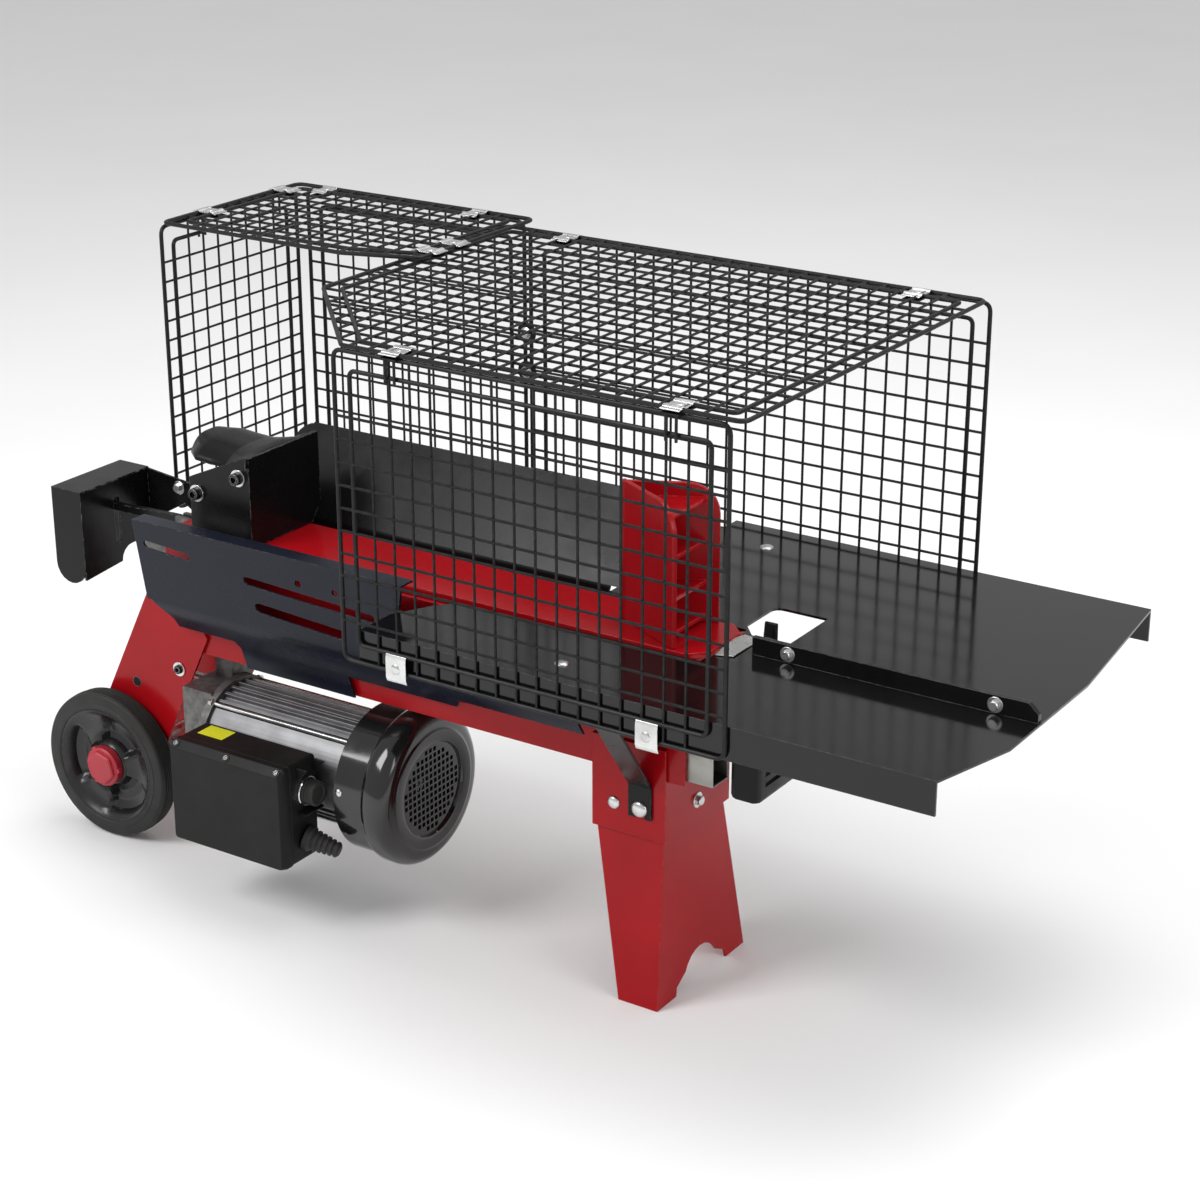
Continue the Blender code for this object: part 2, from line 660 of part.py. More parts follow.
def valve():
    """Valve block on the beam's end plate, with the lever's fork on top and the spool standing in it."""
    x1 = BEAM_X0 - 0.004 - 2 * GAP
    x0 = -0.656
    block = box("valve_block", (x0, -0.028, 0.300), (x1, 0.016, 0.368), 0.002)
    for y0, y1 in ((-0.010, -0.0045), (0.0045, 0.010)):
        ear = box(f"ear{y0}", (LEVER_PIVOT[0] - 0.010, y0, 0.360), (LEVER_PIVOT[0] + 0.010, y1, 0.398))
        join(block, ear)
    join(block, rod("pin", "Y", LEVER_PIVOT, 0.0038, 0.016, 16))
    well = rod("spool_well", "Z", (SPOOL_X, 0.0, 0.345), 0.0050, 0.060, 20)
    cut(block, well)
    port = rod("pipe_port", "Z", (-0.625, -0.015, 0.300), 0.0062, 0.024, 16)
    cut(block, port)
    place(block, ALUMINIUM, 0.5, 0.8)
    spool = turned(
        "valve_spool", "Z", (SPOOL_X, 0.0, 0.0),
        [(0.0, 0.3818), (0.0030, 0.3812), (0.0048, 0.3785), (0.0048, 0.3300), (0.0, 0.3300)], 20,
    )
    place(spool, STEEL, 0.3, 1.0)


# ---- motor and pump -----------------------------------------------------------------------------
PUMP_X0, PUMP_X1 = -0.5525, -0.4985
HOUSING_X1 = -0.2925
COVER_X0, COVER_X1 = -0.2910, -0.2155
GEAR_CENTRES = 0.0246


def ring(radius, count, offset=0.0):
    step = 360 / count
    return arc((0.0, 0.0), radius, offset, offset + 360 - step, count - 1)


def gear_outline(teeth, outer, root, phase):
    """Slim straight-sided teeth, so that a pair runs with play."""
    points = []
    for i in range(teeth):
        middle = phase + i * 360 / teeth
        for radius, turn in ((root, -8.5), (outer, -3.2), (outer, 3.2), (root, 8.5)):
            angle = math.radians(middle + turn)
            points.append((radius * math.cos(angle), radius * math.sin(angle)))
    return points


def moved(points, du, dv):
    return [(u + du, v + dv) for u, v in points]


def pump():
    """Gear pump cast with the motor's end bell; its cover closes the gear chamber inside the motor."""
    x0, x1 = PUMP_X0, PUMP_X1
    y, z = MOTOR_Y, MOTOR_Z
    flange = moved(ring(BODY_R + 0.004, SEGMENTS), y, z)
    body = plate("pump_housing", "YZ", flange, x1 - 0.010, x1, as_mesh=True)
    join(body, box("pump_block", (x0, y - 0.040, z - 0.036), (x1 - 0.008, y + 0.036, z + 0.062), 0.003))
    join(body, box("pump_neck", (x0 + 0.010, y + 0.010, z + 0.055), (x1 - 0.018, y + 0.046, BEAM_BOTTOM - GAP)))
    chamber_r = 0.0146
    for i, dz in enumerate((0.0, GEAR_CENTRES)):
        cut(body, rod(f"chamber{i}", "X", (x1 - 0.015, y, z + dz), chamber_r, 0.032, 24))
    cut(body, rod("drive_journal", "X", (x1 - 0.030, y, z), 0.0062, 0.044, 20))
    cut(body, rod("idle_journal", "X", (x1 - 0.030, y, z + GEAR_CENTRES), 0.0052, 0.044, 20))
    cut(body, rod("pipe_port_low", "X", (x0, y + 0.024, z + 0.045), 0.0062, 0.024, 16))
    place(body, ALUMINIUM, 0.5, 0.7)

    cover_outline = arc((y, z), 0.026, 180, 360, 10) + arc((y, z + GEAR_CENTRES), 0.026, 0, 180, 10)
    shaft_hole = moved(ring(0.0095, 20), y, z)
    place(plate("pump_cover", "YZ", cover_outline, x1 + GAP, x1 + 0.005, [shaft_hole]), ALUMINIUM, 0.5, 0.8)

    idle = plate("pump_gear_driven", "YZ", gear_outline(10, 0.0140, 0.0098, 18), -0.012, 0.012, as_mesh=True)
    idle.location = (x1 - 0.0150, y, z + GEAR_CENTRES)
    join(idle, rod("idle_shaft", "X", (x1 - 0.0250, y, z + GEAR_CENTRES), 0.0050, 0.040, 20))
    place(idle, STEEL, 0.3, 1.0)


def rotor():
    """Rotor, shaft and driving pump gear turn together about the motor's axis."""
    y, z = MOTOR_Y, MOTOR_Z
    bell = PUMP_X1
    gear = plate("pump_gear_drive", "YZ", gear_outline(10, 0.0140, 0.0098, 0), -0.012, 0.012,
                 [ring(0.0063, 20)])
    gear.location = (bell - 0.0150, y, z)
    place(gear, STEEL, 0.3, 1.0)
    profile = [
        (0.0, bell - 0.030), (0.0060, bell - 0.030), (0.0060, bell + 0.001), (0.0090, bell + 0.001),
        (0.0090, -0.440), (0.0375, -0.440), (0.0375, -0.320), (0.0090, -0.320), (0.0090, -0.268),
        (0.0070, -0.268), (0.0070, -0.236), (0.0, -0.236),
    ]
    shaft = turned("motor_rotor", "X", (0.0, y, z), profile[::-1])
    place(shaft, STEEL, 0.35, 1.0)


def motor():
    y, z = MOTOR_Y, MOTOR_Z
    x0, x1 = PUMP_X1 + GAP, HOUSING_X1
    fins = []
    count = 30
    for i in range(count):
        middle = 360 * (i + 0.5) / count
        for radius, turn in ((BODY_R - 0.005, -3.4), (BODY_R, -1.8), (BODY_R, 1.8), (BODY_R - 0.005, 3.4)):
            angle = math.radians(middle + turn)
            fins.append((y + radius * math.cos(angle), z + radius * math.sin(angle)))
    bore = moved(ring(0.0570, SEGMENTS), y, z)
    place(plate("motor_housing", "YZ", fins, x0, x1, [bore]), ALUMINIUM, 0.45, 0.8)
    stator = plate("motor_stator", "YZ", moved(ring(0.0565, SEGMENTS), y, z), -0.445, -0.315,
                   [moved(ring(0.0385, SEGMENTS), y, z)])
    place(stator, STEEL, 0.5, 0.8)
    shield = turned(
        "motor_end_shield", "X", (x1 + GAP, y, z),
        [(0.0095, 0.010), (0.0660, 0.010), (0.0700, 0.006), (0.0700, 0.0), (0.0095, 0.0)], closed=True,
    )
    place(shield, ALUMINIUM, 0.5, 0.7)


def fan_and_cover():
    y, z = MOTOR_Y, MOTOR_Z
    blades = []
    count = 8
    for i in range(count):
        middle = 360 * i / count
        for radius, turn in ((0.016, -12), (0.070, -2.2), (0.070, 2.2), (0.016, 12)):
            angle = math.radians(middle + turn)
            blades.append((radius * math.cos(angle), radius * math.sin(angle)))
    fan = plate("cooling_fan", "YZ", blades, -0.011, 0.011, [ring(0.0072, 20)])
    fan.location = (-0.251, y, z)
    place(fan, BLACK, 0.5)

    wall = 0.0025
    depth = COVER_X1 - COVER_X0
    cover_r = COVER_R
    profile = [
        (0.0, depth), (0.070, depth), (0.082, depth - 0.004), (cover_r, depth - 0.016), (cover_r, 0.0),
        (cover_r - wall, 0.0), (cover_r - wall, depth - 0.017), (0.081, depth - 0.0065),
        (0.070, depth - wall), (0.0, depth - wall),
    ]
    cover = turned("fan_cover", "X", (COVER_X0, y, z), profile)
    pitch = 0.021
    hole = 0.015
    reach = 0.0545
    vents = []
    for row in range(-2, 3):
        for column in range(-2, 3):
            if math.hypot(abs(column) * pitch + hole / 2, abs(row) * pitch + hole / 2) > reach:
                continue
            cy, cz = y + column * pitch, z + row * pitch
            low = (COVER_X1 - 0.015, cy - hole / 2, cz - hole / 2)
            high = (COVER_X1 + 0.015, cy + hole / 2, cz + hole / 2)
            vents.append(box(f"vent_{row}_{column}", low, high))
    cut(cover, merged("vents", vents))
    place(cover, BLACK, 0.15)


def merged(name, pieces):
    """One cutter from several that don't touch."""
    form = bmesh.new()
    for piece in pieces:
        piece.data.transform(Matrix.Translation(piece.location))
        form.from_mesh(piece.data)
        bpy.data.objects.remove(piece)
    mesh = bpy.data.meshes.new(name)
    form.to_mesh(mesh)
    form.free()
    return mesh_object(name, mesh)


# ---- switch box ---------------------------------------------------------------------------------
BOX_X0, BOX_X1 = -0.489, -0.326
BOX_Z0, BOX_Z1 = 0.084, 0.208
BOX_BACK, BOX_SEAM, BOX_FRONT = -0.1205, -0.1680, -0.1850
BUTTON_AT = (-0.1405, 0.1690)
BUTTON_R = 0.0150
INLET_AT = (-0.1430, 0.1120)


def switch_box():
    wall = 0.003
    body = box("switch_box", (BOX_X0, BOX_SEAM, BOX_Z0), (BOX_X1, BOX_BACK, BOX_Z1))
    cut(body, box("box_hollow", (BOX_X0 + wall, BOX_SEAM - 0.01, BOX_Z0 + wall),
                  (BOX_X1 - wall, BOX_BACK - wall, BOX_Z1 - wall)))
    cut(body, rod("button_hole", "X", (BOX_X1, *BUTTON_AT), BUTTON_R + GAP, 0.02, 24))
    cut(body, rod("inlet_hole", "X", (BOX_X1, *INLET_AT), 0.0068, 0.02, 24))
    place(body, BLACK, 0.55)
    lid = box("switch_lid", (BOX_X0, BOX_FRONT, BOX_Z0), (BOX_X1, BOX_SEAM - GAP, BOX_Z1), 0.004)
    cut(lid, box("lid_hollow", (BOX_X0 + 0.006, BOX_FRONT + 0.005, BOX_Z0 + 0.006),
                 (BOX_X1 - 0.006, BOX_SEAM + 0.01, BOX_Z1 - 0.006)))
    place(lid, BLACK, 0.55)
    button = turned(
        "push_button", "X", (BOX_X1, *BUTTON_AT),
        [(0.0, 0.018), (BUTTON_R - 0.002, 0.018), (BUTTON_R, 0.016), (BUTTON_R, -0.006), (0.0, -0.006)], 24,
    )
    place(button, BLACK, 0.4)
    gland = turned(
        "cable_inlet", "X", (BOX_X1, *INLET_AT),
        [
            (0.0, 0.034), (0.0085, 0.034), (0.0105, 0.030), (0.0105, 0.012), (0.0125, 0.011),
            (0.0125, GAP), (0.0065, GAP), (0.0065, -0.007), (0.0, -0.007),
        ], 24,
    )
    place(gland, BLACK, 0.5)


# ---- hydraulics ---------------------------------------------------------------------------------
def hydraulics():
    z = CYLINDER_Z
    x0 = -0.583
    gland_x0, gland_x1 = -0.236, -0.218
    bore, outer = 0.0275, 0.0330
    barrel = turned(
        "cylinder_tube", "X", (0.0, 0.0, z),
        [
            (0.0, x0 + 0.010), (bore, x0 + 0.010), (bore, gland_x0 - GAP), (outer, gland_x0 - GAP),
            (outer, x0), (0.0, x0),
        ],
    )
    place(barrel, STEEL, 0.4, 0.9)
    gland = turned(
        "cylinder_gland", "X", (0.0, 0.0, z),
        [(0.0152, gland_x1), (outer, gland_x1), (outer, gland_x0), (0.0152, gland_x0)], closed=True,
    )
    place(gland, STEEL, 0.4, 0.9)
    piston_x0, piston_x1 = x0 + 0.013, x0 + 0.038
    piston = turned(
        "piston", "X", (0.0, 0.0, z),
        [(0.0, piston_x1), (bore - 0.0002, piston_x1), (bore - 0.0002, piston_x0), (0.0, piston_x0)],
    )
    place(piston, STEEL, 0.35, 1.0)
    head_x0, head_x1 = -0.210, -0.190
    shaft_x0, shaft_x1 = piston_x1 + GAP, head_x0 - GAP
    shaft = rod("piston_rod", "X", ((shaft_x0 + shaft_x1) / 2, 0.0, z), 0.0150, shaft_x1 - shaft_x0)
    place(shaft, STEEL, 0.15, 1.0)
    bar_in, bar_out = 0.0475, SLOT_IN + 0.0007
    place(box("ram_crosshead", (head_x0, -bar_in + GAP, z - 0.022), (head_x1, bar_in - GAP, z + 0.022), 0.002),
          STEEL, 0.45, 0.8)
    for name, side in (("near", -1), ("far", 1)):
        faces = sorted((side * bar_in, side * bar_out))
        bar = box(f"draw_bar_{name}", (-0.545, faces[0], z - 0.018), (head_x1, faces[1], z + 0.018))
        place(bar, STEEL, 0.5, 0.7)


def pressure_pipe():
    """Steel pipe from the pump's outlet round the beam's end up into the valve block."""
    curve = bpy.data.curves.new("pressure_pipe", "CURVE")
    curve.dimensions = "3D"
    curve.bevel_depth = 0.0045
    curve.bevel_resolution = 2
    curve.use_fill_caps = True
    bend = 0.022
    out_y, out_z = MOTOR_Y + 0.024, MOTOR_Z + 0.045
    end_x, end_y = -0.625, -0.015
    route = [(PUMP_X0 + 0.008, out_y, out_z), (end_x + bend, out_y, out_z)]
    for i in range(1, 5):
        angle = math.pi / 2 * i / 5
        share = i / 5
        route.append((end_x + bend - bend * math.sin(angle), out_y + (end_y - out_y) * share,
                      out_z + bend - bend * math.cos(angle)))
    route += [(end_x, end_y, out_z + bend), (end_x, end_y, 0.306)]
    spline = curve.splines.new("POLY")
    spline.points.add(len(route) - 1)
    for point, where in zip(spline.points, route):
        point.co = (*where, 1.0)
    place(mesh_object("pressure_pipe", curve), ZINC, 0.3, 0.9)


# ---- pusher -------------------------------------------------------------------------------------
def pusher():
    """Folded bracket: its cheeks run down through the beam's slots to the draw bars."""
    thick = 0.0060
    cheek_in, cheek_out = SLOT_IN + 0.0010, SLOT_OUT - 0.0010
    back = -0.551
    face = PUSH_FACE_X
    top = 0.511
    side = [(back, 0.306), (face - 0.030, 0.306), (face - 0.030, 0.388), (face - 0.0005, 0.408),
            (face - 0.0005, top - 0.007), (face - 0.008, top - 0.0005), (back, 0.474)]
    foot = TRACK_TOP + 0.001
    front = [(-cheek_out, foot), (cheek_out - 0.004, foot), (PUSH_FAR, foot + 0.022), (PUSH_FAR, top)]
    front.append((-cheek_out, top))
    bracket = plate("pusher", "YZ", front, face - thick, face, as_mesh=True)
    for name, sign in (("near", -1), ("far", 1)):
        faces = sorted((sign * cheek_in, sign * cheek_out))
        tool = plate(f"cheek_{name}", "XZ", side, *faces, as_mesh=True)
        join(bracket, tool)
    place(bracket, BLACK, 0.3)

    half = 0.0460
    corner = 0.022
    length = 0.100
    tongue = [(0.0, -half), (0.0, half)]
    tongue += arc((-length + corner, half - corner), corner, 90, 180, 6)
    tongue += arc((-length + corner, -half + corner), corner, 180, 270, 6)
    flap = plate("pusher_tongue", "XY", tongue, 0.0, SHEET, as_mesh=True)
    droop = Matrix.Rotation(math.radians(-7.0), 4, "Y")
    flap.matrix_world = Matrix.Translation((face - thick, 0.0, top + GAP)) @ droop @ flap.matrix_world
    place(flap, BLACK, 0.3)


# ---- cage ---------------------------------------------------------------------------------------
def grid_lines(low, high):
    """Rod and wire centre lines across a panel: outer rod, inner rod, evenly spaced wires, and back."""
    inner_low, inner_high = low + ROD_STEP, high - ROD_STEP
    cells = max(1, math.ceil((inner_high - inner_low) / CELL))
    wires = [inner_low + (inner_high - inner_low) * i / cells for i in range(cells + 1)]
    return [low, *wires, high]


def clip_ring(ring, normal, limit):
    """Keep the part of a convex outline where u * normal[0] + v * normal[1] stays under a limit."""
    kept = []
    for here, after in zip(ring, ring[1:] + ring[:1]):
        a = here[0] * normal[0] + here[1] * normal[1] - limit
        b = after[0] * normal[0] + after[1] * normal[1] - limit
        if a <= 0:
            kept.append(here)
        if a * b < 0:
            share = a / (a - b)
            kept.append((here[0] + (after[0] - here[0]) * share, here[1] + (after[1] - here[1]) * share))
    return kept


def cage_panel(name, plane, corner, opposite, low, high, chamfer=None):
    """A flat welded panel, its rods and wires cut out of one slab as thick as a rod."""
    (u0, v0), (u1, v1) = corner, opposite
    outline = rectangle(u0 - ROD / 2, v0 - ROD / 2, u1 + ROD / 2, v1 + ROD / 2)
    if chamfer:
        outline = clip_ring(outline, chamfer[:2], chamfer[2] + ROD / 2)
    columns, rows = grid_lines(u0, u1), grid_lines(v0, v1)
    holes = []
    for i, (left, right) in enumerate(zip(columns, columns[1:])):
        for j, (below, above) in enumerate(zip(rows, rows[1:])):
            near = ROD / 2 if i == 0 else WIRE / 2
            far = ROD / 2 if i == len(columns) - 2 else WIRE / 2
            foot = ROD / 2 if j == 0 else WIRE / 2
            head = ROD / 2 if j == len(rows) - 2 else WIRE / 2
            hole = rectangle(left + near, below + foot, right - far, above - head)
            if chamfer:
                hole = clip_ring(hole, chamfer[:2], chamfer[2] - ROD / 2)
            if len(hole) > 2 and area(hole) > 0.00004:
                holes.append(hole)
    return plate(name, plane, outline, low, high, holes)


def area(ring):
    return abs(sum(a[0] * b[1] - b[0] * a[1] for a, b in zip(ring, ring[1:] + ring[:1]))) / 2


REAR_X0, REAR_X1 = -0.6880, 0.2530
REAR_FOOT = 0.3640
REAR_Y = FAR_EDGE + GAP
NEAR_Y = NEAR_EDGE - GAP
LEFT_X = -0.7005
LEFT_NEAR, LEFT_FAR = 0.0860, 0.3360
LEFT_TOP_Z = 0.7220
LEFT_TOP_X1 = -0.3420
TOP_X0, TOP_X1 = -0.3800, 0.2500
TOP_NEAR_Y, TOP_REAR_Y = -0.1778, 0.3365


def slanted(first, second):
    """The cut-off side of a panel: its outward normal, and how far out along it the side lies."""
    run = (Vector(second) - Vector(first)).normalized()
    normal = (run.y, -run.x)
    return (*normal, Vector(first).dot(Vector(normal)))


def cage():
    """Five flat panels that lie on or against each other: near, rear, left end, left top and main top."""
    half = ROD / 2
    panels = (
        ("cage_near_panel", "XZ", (-0.2330, 0.3640), (0.2350, 0.7049), NEAR_Y - ROD, NEAR_Y, None),
        ("cage_rear_panel", "XZ", (REAR_X0, REAR_FOOT), (REAR_X1, REAR_TOP), REAR_Y, REAR_Y + ROD, None),
        ("cage_left_panel", "YZ", (LEFT_NEAR, REAR_FOOT), (LEFT_FAR, REAR_TOP), LEFT_X - ROD, LEFT_X, None),
        ("cage_left_top", "XY", (LEFT_X, 0.0870), (LEFT_TOP_X1, 0.3400), LEFT_TOP_Z - half, LEFT_TOP_Z + half,
         slanted((-0.4330, 0.0870), (LEFT_TOP_X1, 0.1160))),
        ("cage_top_panel", "XY", (TOP_X0, TOP_NEAR_Y), (TOP_X1, TOP_REAR_Y), TOP_Z - half, TOP_Z + half,
         slanted((TOP_X0, -0.0100), (-0.2220, TOP_NEAR_Y))),
    )
    for name, plane, corner, opposite, low, high, chamfer in panels:
        place(cage_panel(name, plane, corner, opposite, low, high, chamfer), BLACK, 0.4)


def near_clips():
    """Screwed clips that hold the near panel's lower rods to the table's flange."""
    face = NEAR_EDGE - 2 * GAP - ROD
    for name, x in (("left", -0.1616), ("right", 0.1480)):
        strap = box(f"near_clip_{name}", (x - 0.007, face - 0.002, 0.357), (x + 0.007, face, 0.379), 0.0006)
        join(strap, rod(f"clip_screw_{name}", "Y", (x, face - 0.0025, 0.3685), 0.0035, 0.003, 12))
        place(strap, ZINC, 0.35, 0.9)


# ---- build --------------------------------------------------------------------------------------
main_beam()
track()
beam_end()
wedge()
leg_socket()
front_leg()
wheel_legs()
wheels()
near_side_plate()
far_side_plate()
near_table()
far_table()
table_struts()
handle_tube()
lift_handle()
lever_guard()
control_lever()
valve()
pump()
rotor()
motor()
fan_and_cover()
switch_box()
hydraulics()
pressure_pipe()
pusher()
cage()
near_clips()
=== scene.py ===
"""Looks for the electric log splitter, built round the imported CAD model.

Machine axes, in metres: x = 0 at the wedge's cutting edge, y = 0 along the middle of the track, z = 0 on
the ground; +X points from the pusher to the wedge, +Y away from the operator.
"""
import math

import bmesh
import bpy
from mathutils import Matrix, Vector
from mathutils.geometry import tessellate_polygon


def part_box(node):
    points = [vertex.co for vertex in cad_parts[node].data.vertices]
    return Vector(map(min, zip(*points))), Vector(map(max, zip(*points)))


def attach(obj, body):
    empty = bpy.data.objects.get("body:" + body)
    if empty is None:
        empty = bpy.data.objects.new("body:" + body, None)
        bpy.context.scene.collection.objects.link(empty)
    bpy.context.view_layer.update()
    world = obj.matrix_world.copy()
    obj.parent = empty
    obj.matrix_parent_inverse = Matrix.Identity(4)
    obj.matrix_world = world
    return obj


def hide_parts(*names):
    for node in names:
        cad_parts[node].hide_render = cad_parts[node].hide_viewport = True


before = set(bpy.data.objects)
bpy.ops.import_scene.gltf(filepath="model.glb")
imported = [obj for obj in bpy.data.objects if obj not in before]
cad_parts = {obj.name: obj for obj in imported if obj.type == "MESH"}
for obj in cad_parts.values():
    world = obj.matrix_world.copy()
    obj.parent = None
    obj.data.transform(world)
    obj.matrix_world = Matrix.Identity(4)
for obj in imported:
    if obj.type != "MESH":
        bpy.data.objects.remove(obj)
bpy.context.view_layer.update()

ORIGIN = Vector((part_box("wedge")[0].x, (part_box("track")[0].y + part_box("track")[1].y) / 2, 0.0))


def spot(node):
    """A CAD node's lowest and highest corner, in machine axes."""
    low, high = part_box(node)
    return low - ORIGIN, high - ORIGIN


# ---- materials ----
class Surface:
    """A Principled material whose colour, roughness and bump come from procedural patterns."""

    def __init__(self, name, metallic=0.0, coat=0.0, coat_roughness=0.1, gloss=0.5):
        self.made = bpy.data.materials.new(name)
        self.made.use_nodes = True
        self.tree = self.made.node_tree
        self.shader = self.tree.nodes["Principled BSDF"]
        self.shader.inputs["Metallic"].default_value = metallic
        self.shader.inputs["Coat Weight"].default_value = coat
        self.shader.inputs["Coat Roughness"].default_value = coat_roughness
        self.shader.inputs["Specular IOR Level"].default_value = gloss
        self.place = self.node("ShaderNodeTexCoord").outputs["Object"]

    def node(self, kind, **settings):
        made = self.tree.nodes.new(kind)
        for name, value in settings.items():
            setattr(made, name, value)
        return made

    def feed(self, socket, value):
        if isinstance(value, bpy.types.NodeSocket):
            self.tree.links.new(value, socket)
        else:
            socket.default_value = value

    def noise(self, scale, detail=2.0, stretch=(1.0, 1.0, 1.0)):
        """Noise from 0 to 1; scale is in features per metre, roughly."""
        mapping = self.node("ShaderNodeMapping")
        self.feed(mapping.inputs["Vector"], self.place)
        mapping.inputs["Scale"].default_value = stretch
        made = self.node("ShaderNodeTexNoise")
        self.feed(made.inputs["Vector"], mapping.outputs["Vector"])
        made.inputs["Scale"].default_value = scale
        made.inputs["Detail"].default_value = detail
        return made.outputs["Fac"]

    def cells(self, scale):
        made = self.node("ShaderNodeTexVoronoi")
        self.feed(made.inputs["Vector"], self.place)
        made.inputs["Scale"].default_value = scale
        return made.outputs["Distance"]

    def spread(self, fac, low, high, start=0.3, end=0.7):
        """Map a pattern's start..end onto low..high."""
        made = self.node("ShaderNodeMapRange")
        settings = {"Value": fac, "From Min": start, "From Max": end, "To Min": low, "To Max": high}
        for name, value in settings.items():
            self.feed(made.inputs[name], value)
        return made.outputs["Result"]

    def times(self, a, b):
        made = self.node("ShaderNodeMath", operation="MULTIPLY")
        self.feed(made.inputs[0], a)
        self.feed(made.inputs[1], b)
        return made.outputs[0]

    def mix(self, fac, first, second):
        made = self.node("ShaderNodeMix", data_type="RGBA")
        self.feed(made.inputs["Factor"], fac)
        for socket, value in ((made.inputs["A"], first), (made.inputs["B"], second)):
            self.feed(socket, value if isinstance(value, bpy.types.NodeSocket) else (*value, 1.0))
        return made.outputs["Result"]

    def edges(self, width, start=0.985, end=0.90):
        """1 along sharp edges and 0 on flats."""
        rounded_normal = self.node("ShaderNodeBevel", samples=4)
        rounded_normal.inputs["Radius"].default_value = width
        true_normal = self.node("ShaderNodeNewGeometry").outputs["Normal"]
        dot = self.node("ShaderNodeVectorMath", operation="DOT_PRODUCT")
        self.feed(dot.inputs[0], rounded_normal.outputs["Normal"])
        self.feed(dot.inputs[1], true_normal)
        return self.spread(dot.outputs["Value"], 0.0, 1.0, start, end)

    def color(self, value):
        self.feed(self.shader.inputs["Base Color"], value)
        return self

    def roughness(self, value):
        self.feed(self.shader.inputs["Roughness"], value)
        return self

    def bump(self, height, distance, strength):
        made = self.node("ShaderNodeBump")
        made.inputs["Distance"].default_value = distance
        made.inputs["Strength"].default_value = strength
        self.feed(made.inputs["Height"], height)
        self.feed(self.shader.inputs["Normal"], made.outputs["Normal"])
        return self


def paint(name, color, worn_and_edge_highlight, rough, coat=0.0, peel=0.00005, gloss=0.20):
    """Powder coat: orange-peel skin, faint handling marks, and edges painted paler, partly as rubbed-thin
    wear and partly as a painted highlight.
    """
    skin = Surface(name, coat=coat, coat_roughness=0.12, gloss=gloss)
    deeper = tuple(c * 0.82 for c in color)
    tone = skin.mix(skin.spread(skin.noise(9.0, 4.0), 0.0, 1.0), color, deeper)
    # edges painted towards the paler colour: rubbed-thin wear together with a painted highlight
    rubbed_and_highlit_edges = skin.times(skin.edges(0.0016), skin.spread(skin.noise(160.0, 3.0), 0.0, 0.8, 0.45, 0.65))
    skin.color(skin.mix(rubbed_and_highlit_edges, tone, worn_and_edge_highlight))
    skin.roughness(skin.spread(skin.noise(26.0, 5.0), *rough))
    return skin.bump(skin.noise(300.0, 1.0), peel, 0.5).made


def metal(name, color, rough, scratch=(1.0, 1.0, 1.0), grain=300.0, depth=0.00006, stain=0.75):
    """Bare or plated metal with a grain that may run one way; its edges are painted paler, partly as worn
    bare metal and partly as a painted highlight.
    """
    skin = Surface(name, metallic=1.0)
    dull = tuple(c * stain for c in color)
    tone = skin.mix(skin.spread(skin.noise(40.0, 4.0), 0.0, 1.0), color, dull)
    # edges painted pale grey: worn bare metal together with a painted highlight
    skin.color(skin.mix(skin.times(skin.edges(0.001), 0.5), tone, (0.85, 0.85, 0.84)))
    skin.roughness(skin.spread(skin.noise(90.0, 4.0, scratch), *rough))
    return skin.bump(skin.noise(grain, 3.0, scratch), depth, 0.7).made


def casting(name, color):
    """Sand-cast aluminium: coarse matt skin with darker hollows."""
    skin = Surface(name, metallic=0.85)
    dark = tuple(c * 0.6 for c in color)
    tone = skin.mix(skin.spread(skin.noise(120.0, 5.0), 0.0, 1.0), color, dark)
    skin.color(tone)
    skin.roughness(skin.spread(skin.noise(60.0, 4.0), 0.42, 0.62))
    return skin.bump(skin.noise(520.0, 4.0), 0.0005, 0.8).made


def moulded(name, color, rough, grain=900.0, depth=0.00012, coat=0.0, gloss=0.5):
    """Moulded plastic or rubber: fine spark-eroded grain; edges painted paler, partly as handling wear and
    partly as a painted highlight.
    """
    skin = Surface(name, coat=coat, coat_roughness=0.08, gloss=gloss)
    paler_worn_and_highlit = tuple(min(1.0, c * 1.9 + 0.01) for c in color)
    cloudy = tuple(c * 1.25 + 0.002 for c in color)
    tone = skin.mix(skin.spread(skin.noise(14.0, 4.0), 0.0, 1.0), color, cloudy)
    # edges painted towards the paler colour: handling wear together with a painted highlight
    skin.color(skin.mix(skin.times(skin.edges(0.0015), 0.6), tone, paler_worn_and_highlit))
    skin.roughness(skin.spread(skin.noise(50.0, 4.0), *rough))
    return skin.bump(skin.cells(grain), depth, 0.6).made


# each paint's second colour goes on its edges: partly wear, partly a painted highlight
RED_PAINT = paint("red_powder_coat", (0.36, 0.004, 0.008), (0.50, 0.07, 0.06), (0.16, 0.25))
BLACK_PAINT = paint("black_powder_coat", (0.0055, 0.0055, 0.006), (0.20, 0.20, 0.20), (0.20, 0.30))
TABLE_PAINT = paint("table_gloss_coat", (0.005, 0.005, 0.0055), (0.09, 0.09, 0.09), (0.10, 0.15),
                    coat=0.08, peel=0.00002, gloss=0.36)
SLATE_PAINT = paint("slate_powder_coat", (0.0075, 0.009, 0.0185), (0.11, 0.11, 0.13), (0.24, 0.34))
CAGE_COAT = paint("cage_dip_coat", (0.005, 0.005, 0.0055), (0.035, 0.035, 0.035), (0.40, 0.55),
                  peel=0.0001, gloss=0.3)
ZINC = metal("zinc_plate", (0.74, 0.75, 0.74), (0.22, 0.38))
TUBE_STEEL = metal("raw_tube_steel", (0.36, 0.355, 0.33), (0.34, 0.48), (0.1, 1.0, 1.0))
STEEL = metal("machined_steel", (0.50, 0.50, 0.51), (0.25, 0.45), (0.2, 1.0, 1.0))
DARK_BOLT = metal("blackened_steel", (0.040, 0.039, 0.038), (0.30, 0.45))
